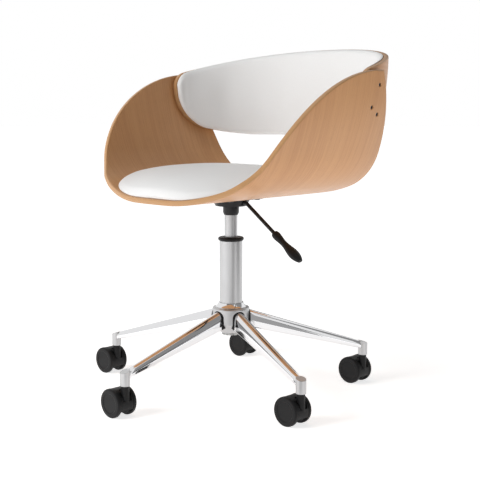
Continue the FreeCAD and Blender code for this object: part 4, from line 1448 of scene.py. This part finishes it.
@dataclass(kw_only=True)
class Pad:
    """A stuffed pad: a cover held round its underside and swelled by a cloth run."""

    HELD = "held"

    palette: Palette
    node: str
    name: str
    gap: float = 0.5 * MM
    fill: float = 0.8
    # How the cover is swelled and then evened out.
    swell: float = 6.0 * MM
    swell_percent: float = 98.0
    pressure: float = 4.0
    stiffness: float = 2.0
    quality: int = 5
    frames: int = 20
    calming: int = 26

    def grids(self) -> tuple[np.ndarray, np.ndarray]:
        """Returns the grid of the underside and that of the slack cover, which meet at their borders."""
        raise NotImplementedError

    def build(self) -> bpy.types.Object:
        """Builds the pad.

        Returns:
            The finished pad.
        """
        under, over = self.grids()
        shape = over.shape[:2]
        piece = new_piece(self.name, self._mesh(under, over))
        held = np.ones(shape, dtype=bool)
        held[1:-1, 1:-1] = False
        fixed = np.flatnonzero(held).tolist() + list(range(held.size, len(piece.data.vertices)))
        piece.vertex_groups.new(name=self.HELD).add(fixed, 1.0, "REPLACE")
        self._blow(piece, shape)
        subdivision = piece.modifiers.new("finer", "SUBSURF")
        subdivision.levels = subdivision.render_levels = 1
        settle(piece)
        piece.vertex_groups.clear()
        piece.data.shade_smooth()
        self.palette.coat(piece, Slot.PAD_COVER)
        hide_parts(self.node)
        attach(piece, Body.SEAT.value)
        log.info("%s: %d faces", self.name, len(piece.data.polygons))
        return piece

    def _mesh(self, under: np.ndarray, over: np.ndarray) -> bpy.types.Mesh:
        """Joins the underside and the cover at their borders.

        Args:
            under: The grid of the underside.
            over: The grid of the cover.

        Returns:
            A closed mesh that begins with the cover's points.
        """
        rows, columns = over.shape[:2]
        upper = np.arange(rows * columns).reshape(rows, columns)
        inside = under[1:-1, 1:-1]
        lower = upper.copy()
        lower[1:-1, 1:-1] = rows * columns + np.arange(inside[..., 0].size).reshape(inside.shape[:2])
        points = np.concatenate([over.reshape(-1, 3), inside.reshape(-1, 3)])
        faces = []
        for i in range(rows - 1):
            for j in range(columns - 1):
                corners = ((i, j), (i + 1, j), (i + 1, j + 1), (i, j + 1))
                faces.append(tuple(int(upper[c]) for c in corners))
                faces.append(tuple(int(lower[c]) for c in reversed(corners)))
        mesh = bpy.data.meshes.new(self.name)
        mesh.from_pydata(points.tolist(), [], faces)
        face_out(mesh)
        return mesh

    def _blow(self, piece: bpy.types.Object, shape: tuple[int, int]) -> None:
        """Swells the cover by a cloth run, then evens the swelling out.

        Args:
            piece: The slack pad.
            shape: The rows and columns of its cover.
        """
        before = self._points(piece)
        cloth = piece.modifiers.new("swell", "CLOTH")
        settings = cloth.settings
        settings.use_pressure = True
        settings.uniform_pressure_force = self.pressure
        settings.effector_weights.gravity = 0.0
        settings.vertex_group_mass = self.HELD
        settings.quality = self.quality
        settings.bending_stiffness = self.stiffness
        cloth.collision_settings.use_collision = False
        cloth.point_cache.frame_start = 1
        cloth.point_cache.frame_end = self.frames
        scene = bpy.context.scene
        for step in range(1, self.frames + 1):
            scene.frame_set(step)
        settle(piece)
        scene.frame_set(1)
        move = self._points(piece) - before
        length = np.linalg.norm(move, axis=1)
        log.info("%s: the cover moved by up to %.1f mm", self.name, float(length.max()) / MM)
        move *= self.swell / max(float(np.percentile(length, self.swell_percent)), TINY)
        self._calm(move[: shape[0] * shape[1]].reshape(*shape, 3))
        length = np.linalg.norm(move, axis=1, keepdims=True)
        move *= np.minimum(1.0, self.swell / np.maximum(length, TINY))
        piece.data.vertices.foreach_set("co", (before + move).astype(np.float32).ravel())
        piece.data.update()

    def _calm(self, cover: np.ndarray) -> None:
        """Averages the cover's movement with its neighbours', in place.

        Args:
            cover: The movement by row and column.
        """
        for _ in range(self.calming):
            inner = cover[1:-1, 1:-1]
            around = cover[:-2, 1:-1] + cover[2:, 1:-1] + cover[1:-1, :-2] + cover[1:-1, 2:]
            cover[1:-1, 1:-1] = 0.5 * inner + 0.125 * around

    def _points(self, piece: bpy.types.Object) -> np.ndarray:
        """Reads a piece's points.

        Args:
            piece: The piece.

        Returns:
            The points, one row each.
        """
        points = np.empty(len(piece.data.vertices) * 3, dtype=np.float32)
        piece.data.vertices.foreach_get("co", points)
        return points.reshape(-1, 3).astype(float)


@dataclass(kw_only=True)
class SeatPad(Pad):
    """The seat cushion: rounded in plan, lying in the seat's dish under one shallow crown."""

    seat: SeatSheet
    width: float = 406.0 * MM
    front: float = -222.0 * MM
    rear: float = 198.0 * MM
    front_power: float = 3.0
    rear_power: float = 5.0
    crown: float = 54.0 * MM
    edge: float = 6.0 * MM
    rounding: float = 12.0 * MM
    cells: int = 62
    crowding: float = 0.86
    end_limit: float = 0.985

    def grids(self) -> tuple[np.ndarray, np.ndarray]:
        """Spreads both grids over the cushion's plan.

        Returns:
            The grid of the underside and that of the slack cover.
        """
        steps = np.sin(np.linspace(-1.0, 1.0, self.cells + 1) * math.pi / 2.0 * self.crowding)
        steps = steps / steps[-1]
        p, q = np.meshgrid(steps, steps, indexing="ij")
        u, v = p * np.sqrt(1.0 - q**2 / 2.0), q * np.sqrt(1.0 - p**2 / 2.0)
        share = np.clip(np.hypot(u, v), 0.0, 1.0)
        around = np.arctan2(v, u)
        power = np.where(v < 0.0, self.front_power, self.rear_power)
        reach = (np.abs(np.cos(around)) ** power + np.abs(np.sin(around)) ** power) ** (-1.0 / power)
        middle, half = (self.front + self.rear) / 2.0, (self.rear - self.front) / 2.0
        x = self.width / 2.0 * share * reach * np.cos(around)
        y = middle + half * share * reach * np.sin(around)
        along = np.clip((y - middle) / half, -self.end_limit, self.end_limit)
        wide = self.width / 2.0 * (1.0 - np.abs(along) ** power) ** (1.0 / power)
        low = self.seat.inner_height(x, y) + self.gap
        rim = self.seat.inner_height(wide, y) + self.gap + self.edge
        rise = self.edge + (self.crown - self.edge) * np.sqrt(1.0 - along**2)
        crest = self.seat.inner_height(np.zeros_like(y), y) + self.gap + rise
        high = rim + (crest - rim) * (1.0 - np.clip(x / wide, -1.0, 1.0) ** 2)
        radius = reach * np.hypot(self.width / 2.0 * np.cos(around), half * np.sin(around))
        inwards = (1.0 - share) * radius
        lift = np.maximum(high - low, self.edge) * rounded(inwards / self.rounding)
        lift[[0, -1], :] = 0.0
        lift[:, [0, -1]] = 0.0
        return np.stack([x, y, low], axis=2), np.stack([x, y, low + lift], axis=2)


@dataclass(kw_only=True)
class BackPad(Pad):
    """The back cushion: on the front of the band, over its long rims and just short of its ends."""

    band: BackBand
    inset: float = -1.4 * MM
    nose_inset: float = 4.0 * MM
    thick: float = 17.0 * MM
    edge: float = 9.0 * MM
    rounding: float = 11.0 * MM
    end_reach: float = 110.0 * MM
    end_share: float = 0.55
    belly_power: float = 3.0
    columns: int = 36
    crowding: float = 0.9

    def grids(self) -> tuple[np.ndarray, np.ndarray]:
        """Spreads both grids over the front of the band.

        Returns:
            The grid of the underside and that of the slack cover.
        """
        steps = np.sin(np.linspace(-1.0, 1.0, self.columns) * math.pi / 2.0 * self.crowding)
        across = 0.5 + 0.5 * steps / steps[-1]
        behind = self.band.seat.profile.ply + self.gap
        turn, height = self.band.grid(self.inset, self.nose_inset, behind, across)
        under = self.band.point(turn, height, behind)
        length = travelled(under[:, self.columns // 2])[:, None]
        end = np.minimum(length, length[-1] - length)
        tall = height[:, -1:] - height[:, :1]
        side = np.minimum(across, 1.0 - across) * tall
        belly = 1.0 - np.abs(2.0 * across - 1.0) ** self.belly_power
        ease = np.clip(end / self.end_reach, 0.0, 1.0)
        full = self.end_share + (1.0 - self.end_share) * ease * ease * (3.0 - 2.0 * ease)
        lift = (self.edge + (self.thick - self.edge) * belly) * full
        lift = lift * rounded(side / self.rounding) * rounded(end / self.rounding)
        return under, self.band.point(turn, height, behind + lift)


@dataclass
class StarBase:
    """The five pressed legs, black sleeves of painted shade in the hub's mouths where the legs' shadow gap
    is, and the flared collar round the column.
    """

    palette: Palette
    pattern: StarPattern
    count: int = 5
    wall: float = 2.5 * MM
    root: float = 28.0 * MM
    tip: float = 300.0 * MM
    # Sizes at the root and at the tip.
    widths: Span = (28.0 * MM, 18.5 * MM)
    tops: Span = (183.0 * MM, 97.0 * MM)
    sides: Span = (24.0 * MM, 4.5 * MM)
    # The arch over the leg's upright sides.
    roof_power: float = 2.1
    roof_share: float = 0.4
    roof_points: int = 33
    skirt_points: int = 6
    rim_steps: int = 6
    leg_start: float = 31.0 * MM
    leg_end: float = 293.0 * MM
    leg_rows: int = 14
    # A thin black sleeve over each leg's arch where it enters the hub: painted shade that stands in for the
    # shadow gap there.
    shade_sleeve: float = 1.1 * MM
    shade_sleeve_end: float = 40.9 * MM
    shade_sleeve_rows: int = 4
    # The collar's section, as (radius, height).
    collar: tuple[tuple[float, float], ...] = (
        (25.2 * MM, 186.0 * MM),
        (33.5 * MM, 186.0 * MM),
        (33.8 * MM, 187.4 * MM),
        (30.2 * MM, 191.0 * MM),
        (27.4 * MM, 196.4 * MM),
        (25.2 * MM, 196.6 * MM),
    )
    collar_steps: int = 96
    merge: float = 0.01 * MM

    def arch(self, start: float, end: float, grow: float, rows: int) -> np.ndarray:
        """Draws a leg's wall.

        Args:
            start: Where it begins, from the axis.
            end: Where it ends.
            grow: How far outside the leg's outer face.
            rows: How many sections to draw.

        Returns:
            A grid of points, by section and round the arch, for the leg at the front.
        """
        along = np.linspace(start, end, rows)
        share = (along - self.root) / (self.tip - self.root)
        half = (self.widths[0] + (self.widths[1] - self.widths[0]) * share) / 2.0
        top = self.tops[0] + (self.tops[1] - self.tops[0]) * share
        side = self.sides[0] + (self.sides[1] - self.sides[0]) * share
        around = np.linspace(0.0, math.pi, self.roof_points)
        bend = 2.0 / self.roof_power
        cosine, sine = np.cos(around), np.maximum(np.sin(around), 0.0)
        drops = np.linspace(1.0, 0.0, self.skirt_points + 1)[:-1]
        ends = np.ones(self.skirt_points)
        x = np.concatenate([ends, np.sign(cosine) * np.abs(cosine) ** bend, -ends])
        z = np.concatenate([0.0 * ends, sine**bend, 0.0 * ends])
        drop = np.concatenate([drops, np.zeros(self.roof_points), drops[::-1]])
        rise = half + self.roof_share * side
        skirt = (1.0 - self.roof_share) * side
        wide = (half + grow)[:, None] * x
        high = (top - rise)[:, None] + (rise + grow)[:, None] * z - skirt[:, None] * drop
        deep = np.broadcast_to(-along[:, None], wide.shape)
        return np.stack([wide, deep, high], axis=2)

    def _star(self, name: str, grid: np.ndarray, wall: float, slot: Slot) -> bpy.types.Object:
        """Makes a wall out of a grid and repeats it round the axis.

        Args:
            name: The piece's name.
            grid: The middle of the wall for the leg at the front.
            wall: How thick it is.
            slot: The piece's slot.

        Returns:
            The finished piece.
        """
        upwards = Vector((0.0, 0.0, 1.0))
        sheet = SheetMesh(grid, grid[..., :2], upwards, wall, wall / 2.0, self.rim_steps, fullness=1.0)
        piece = new_piece(name, sheet.mesh(name))
        values = {StarPattern.COUNT: self.count, Pattern.MATERIAL: self.palette.materials[slot]}
        self.pattern.run(piece, values)
        piece.data.shade_smooth()
        self.palette.coat(piece, slot)
        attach(piece, Body.BASE.value)
        log.info("%s: %d faces", name, len(piece.data.polygons))
        return piece

    def _collar(self) -> None:
        """Turns the collar's section round the axis."""
        work = bmesh.new()
        ring = [work.verts.new((radius, 0.0, height)) for radius, height in self.collar]
        edges = [work.edges.new((ring[k], ring[(k + 1) % len(ring)])) for k in range(len(ring))]
        bmesh.ops.spin(
            work,
            geom=ring + edges,
            axis=(0.0, 0.0, 1.0),
            cent=(0.0, 0.0, 0.0),
            angle=math.tau,
            steps=self.collar_steps,
        )
        bmesh.ops.remove_doubles(work, verts=work.verts[:], dist=self.merge)
        bmesh.ops.recalc_face_normals(work, faces=work.faces[:])
        for edge in work.edges:
            edge.smooth = edge.calc_face_angle(0.0) < SHARP
        for face in work.faces:
            face.smooth = True
        mesh = bpy.data.meshes.new("hub_collar")
        work.to_mesh(mesh)
        work.free()
        piece = new_piece("hub_collar", mesh)
        self.palette.coat(piece, Slot.CHROME)
        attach(piece, Body.BASE.value)
        log.info("hub_collar: %d faces", len(piece.data.polygons))

    def build(self) -> None:
        """Builds the legs, the black sleeves of painted shade at the hub's mouths and the collar."""
        leg = self.arch(self.leg_start, self.leg_end, -self.wall / 2.0, self.leg_rows)
        legs = self._star("star_legs", leg, self.wall, Slot.CHROME)
        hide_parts(*(f"leg_{k + 1}" for k in range(self.count)))
        # Painted shade: black sleeves at the hub's mouths in place of the shadow gap round each leg.
        mouth_shade = self.arch(self.leg_start, self.shade_sleeve_end, self.shade_sleeve / 2.0, self.shade_sleeve_rows)
        self._star("leg_liners", mouth_shade, self.shade_sleeve, Slot.PLASTIC)
        self._collar()


@dataclass(frozen=True)
class Dressing:
    """How one kind of CAD node is finished; one without a bevel keeps the node's own mesh."""

    starts: str
    slot: Slot
    bevel: float = 0.0
    satin: float = 0.0


@dataclass
class Hardware:
    """Rigid CAD nodes: copies with merged corners, small rounded edges and their finishes."""

    palette: Palette
    # The first rule that a node's name starts with holds, so hub_cap stands before hub.
    rules: tuple[Dressing, ...] = (
        Dressing("castor_hood", Slot.PLASTIC, 0.8 * MM),
        Dressing("castor_wheel", Slot.PLASTIC, 0.8 * MM),
        Dressing("castor_socket", Slot.CHROME, 0.5 * MM, satin=0.9),
        Dressing("hub_cap", Slot.STEEL, 0.3 * MM),
        Dressing("hub", Slot.CHROME, 0.8 * MM, satin=1.0),
        Dressing("column_tube", Slot.CHROME, 0.5 * MM, satin=1.0),
        Dressing("column_ring", Slot.PLASTIC, 0.6 * MM),
        Dressing("pressure_tube", Slot.CHROME, 0.4 * MM, satin=1.0),
        Dressing("taper_socket", Slot.PAINT, 0.6 * MM),
        Dressing("seat_plate", Slot.PAINT, 0.6 * MM),
        Dressing("lever_rod", Slot.PAINT, 0.2 * MM),
        Dressing("lever_grip", Slot.PLASTIC, 0.8 * MM),
        Dressing("plate_bolts", Slot.DARK_STEEL, 0.4 * MM),
        Dressing("guide_bush", Slot.GUIDE),
        Dressing("tube_seal", Slot.GUIDE),
        Dressing("piston_head", Slot.GUIDE),
        Dressing("piston_rod", Slot.STEEL),
        Dressing("retaining_clip", Slot.STEEL),
        Dressing("thrust_bearing", Slot.STEEL),
        Dressing("release_button", Slot.STEEL),
        Dressing("lever_pin", Slot.STEEL),
        Dressing("tee_nuts", Slot.STEEL),
        Dressing("castor_stem", Slot.STEEL),
        Dressing("castor_axle", Slot.STEEL),
    )
    merge: float = 0.004 * MM
    flatness: float = math.radians(0.6)
    segments: int = 2

    def build(self) -> None:
        """Finishes every node that a rule names."""
        for name, node in frame["nodes"].items():
            rule = next((r for r in self.rules if name.startswith(r.starts)), None)
            if rule is None:
                continue
            if rule.bevel > 0.0:
                self._refine(name, node, rule)
            else:
                self.palette.coat(node, rule.slot)

    def _refine(self, name: str, node: bpy.types.Object, rule: Dressing) -> None:
        """Puts a copy with rounded edges in a node's place.

        Args:
            name: The node's name.
            node: The node.
            rule: How it is finished.
        """
        mesh = node.data.copy()
        mesh.transform(node.matrix_world)
        work = bmesh.new()
        work.from_mesh(mesh)
        bmesh.ops.remove_doubles(work, verts=work.verts[:], dist=self.merge)
        bmesh.ops.dissolve_limit(
            work,
            angle_limit=self.flatness,
            verts=work.verts[:],
            edges=work.edges[:],
            delimit={"NORMAL"},
        )
        for face in work.faces:
            face.smooth = True
        for edge in work.edges:
            edge.smooth = len(edge.link_faces) == 2 and edge.calc_face_angle(0.0) < SHARP
        work.to_mesh(mesh)
        work.free()
        piece = new_piece(f"fine_{name}", mesh)
        bevel = piece.modifiers.new("soft_edges", "BEVEL")
        bevel.width = rule.bevel
        bevel.segments = self.segments
        bevel.limit_method = "ANGLE"
        bevel.angle_limit = SHARP
        bevel.harden_normals = True
        settle(piece)
        if rule.satin > 0.0:
            marks = piece.data.attributes.new(MetalFinish.SATIN, "FLOAT", "POINT")
            marks.data.foreach_set("value", [rule.satin] * len(piece.data.vertices))
        self.palette.coat(piece, rule.slot)
        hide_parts(name)
        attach(piece, body_of(node)[0])
        log.info("%s: %d faces", piece.name, len(piece.data.polygons))


@dataclass(frozen=True)
class Lamp:
    """One soft light."""

    name: str
    place: tuple[float, float, float]
    aim: tuple[float, float, float]
    size: tuple[float, float]
    power: float


@dataclass(frozen=True)
class Flag:
    """A card that only mirrors see, upright unless its top edge leans out."""

    name: str
    place: tuple[float, float]
    width: float
    heights: tuple[float, float]
    grey: float
    lean: float = 0.0


@dataclass
class Studio:
    """Camera, soft lights, grey cards, white surround and pale floor."""

    # The photo's camera.
    camera_place: tuple[float, float, float] = (1.5559, -1.5559, 0.6309)
    turn: float = math.radians(45.0)
    dip: float = math.radians(7.72)
    sensor: float = 36.0
    lens: float = 76.65
    shift_pixels: float = 9.0
    photo_pixels: float = 480.0
    # How much the white surround lights, and how the floor glows near the chair and away from it.
    surround: float = 0.04
    floor_size: float = 40.0
    floor_grey: float = 0.86
    floor_roughness: float = 0.9
    floor_reach: Span = (0.45, 1.5)
    floor_glow: Span = (0.74, 1.0)
    lamps: tuple[Lamp, ...] = (
        Lamp("front", (-1.0, -2.8, 1.7), (0.0, 0.0, 0.5), (1.6, 1.6), 75.0),
        Lamp("right", (2.4, 0.35, 0.55), (0.25, 0.0, 0.55), (0.8, 0.8), 6.5),
        Lamp("top", (0.0, -0.1, 2.8), (0.0, -0.1, 0.4), (0.9, 0.9), 13.0),
    )
    flags: tuple[Flag, ...] = (
        Flag("flag_right", (1.40, 0.78), 1.1, (0.0, 0.30), 0.04),
        Flag("flag_right_high", (1.25, 1.00), 1.8, (0.30, 2.2), 0.30),
        Flag("flag_back", (-0.78, 1.36), 0.8, (0.30, 1.6), 0.28),
        Flag("flag_over", (0.10, 0.17), 1.2, (1.8, 1.8), 0.30, lean=0.8),
        Flag("flag_front", (0.90, -0.35), 0.5, (0.0, 1.2), 0.42),
        Flag("flag_high", (0.95, -1.10), 2.6, (0.40, 2.4), 0.24),
        Flag("flag_low", (0.40, -0.40), 0.40, (0.0, 0.09), 0.36),
    )

    def build(self) -> None:
        """Sets up the stage."""
        self._camera()
        self._surround()
        self._floor()
        for lamp in self.lamps:
            self._lamp(lamp)
        for flag in self.flags:
            self._flag(flag)
        bpy.context.scene.view_settings.view_transform = "Standard"

    def _camera(self) -> None:
        """Places the photo's camera."""
        data = bpy.data.cameras.new("camera")
        data.sensor_width = self.sensor
        data.lens = self.lens
        data.shift_x = self.shift_pixels / self.photo_pixels
        camera = bpy.data.objects.new("camera", data)
        camera.location = self.camera_place
        camera.rotation_euler = (math.pi / 2.0 - self.dip, 0.0, self.turn)
        bpy.context.scene.collection.objects.link(camera)
        bpy.context.scene.camera = camera

    def _surround(self) -> None:
        """Makes a surround that looks white and mirrors white, but lights the chair little."""
        world = bpy.data.worlds.new("surround")
        world.use_nodes = True
        bpy.context.scene.world = world
        tree = world.node_tree
        background = tree.nodes["Background"]
        path = tree.nodes.new("ShaderNodeLightPath")
        seen = Signal(tree, path.outputs["Is Camera Ray"]) + Signal(tree, path.outputs["Is Glossy Ray"])
        seen = seen + Signal(tree, path.outputs["Is Transmission Ray"])
        level = self.surround + (1.0 - self.surround) * seen.step(0.0, 1.0)
        background.inputs["Color"].default_value = (*WHITE, 1.0)
        tree.links.new(level.socket, background.inputs["Strength"])

    def _floor(self) -> None:
        """Lays a pale floor that glows white away from the chair."""
        half = self.floor_size / 2.0
        corners = [(-half, -half, 0.0), (half, -half, 0.0), (half, half, 0.0), (-half, half, 0.0)]
        mesh = bpy.data.meshes.new("floor")
        mesh.from_pydata(corners, [], [(0, 1, 2, 3)])
        floor = new_piece("floor", mesh)
        recipe = Recipe("floor_pale")
        length = recipe.add("ShaderNodeVectorMath", {"operation": "LENGTH"}, {0: recipe.place()}, "Value")
        near, far = self.floor_glow
        glow = near + (far - near) * length.step(*self.floor_reach)
        pale = recipe.done(
            Base_Color=(self.floor_grey, self.floor_grey, self.floor_grey),
            Roughness=self.floor_roughness,
            Emission_Color=recipe.blend(glow, BLACK, WHITE),
            Emission_Strength=1.0,
        )
        mesh.materials.append(pale)

    def _flag(self, flag: Flag) -> None:
        """Stands a card round the chair.

        Args:
            flag: The card.
        """
        foot = Vector(flag.place)
        out = foot.normalized()
        along = Vector((-out.y, out.x)) * (flag.width / 2.0)
        low, high = flag.heights
        head = foot + out * flag.lean
        corners = [
            (*(foot - along), low),
            (*(foot + along), low),
            (*(head + along), high),
            (*(head - along), high),
        ]
        mesh = bpy.data.meshes.new(flag.name)
        mesh.from_pydata(corners, [], [(0, 1, 2, 3)])
        card = new_piece(flag.name, mesh)
        recipe = Recipe(flag.name)
        grey = recipe.done(
            Base_Color=BLACK,
            Roughness=1.0,
            Emission_Color=(flag.grey, flag.grey, flag.grey),
            Emission_Strength=1.0,
            Specular_IOR_Level=0.0,
        )
        mesh.materials.append(grey)
        card.visible_camera = False
        card.visible_diffuse = False
        card.visible_shadow = False

    def _lamp(self, lamp: Lamp) -> None:
        """Hangs a light that no mirror shows.

        Args:
            lamp: The light.
        """
        data = bpy.data.lights.new(lamp.name, "AREA")
        data.shape = "RECTANGLE"
        data.size, data.size_y = lamp.size
        data.energy = lamp.power
        light = bpy.data.objects.new(lamp.name, data)
        light.visible_glossy = False
        light.location = lamp.place
        light.rotation_euler = (Vector(lamp.aim) - Vector(lamp.place)).to_track_quat("-Z", "Y").to_euler()
        bpy.context.scene.collection.objects.link(light)


class Chair:
    """The whole chair."""

    SEAT_BASE = 426.2 * MM

    def __init__(self) -> None:
        """Makes the finishes."""
        self.palette = Palette()

    def build(self) -> None:
        """Builds every piece."""
        seat = SeatSheet(self.palette, self.SEAT_BASE)
        band = BackBand(self.palette, seat)
        sheet = seat.build()
        band.build()
        screws = WingScrews(self.palette, seat, FastenerPattern())
        screws.bore_sheet(sheet)
        screws.build()
        SeatPad(palette=self.palette, node="seat_pad", name="seat_cushion", seat=seat).build()
        BackPad(palette=self.palette, node="back_pad", name="back_cushion", band=band).build()
        Hardware(self.palette).build()
        StarBase(self.palette, StarPattern()).build()


def main() -> None:
    """Builds the chair and its stage."""
    logging.basicConfig(level=logging.INFO, format="%(name)s %(message)s")
    Chair().build()
    Studio().build()


if __name__ == "__main__":
    main()
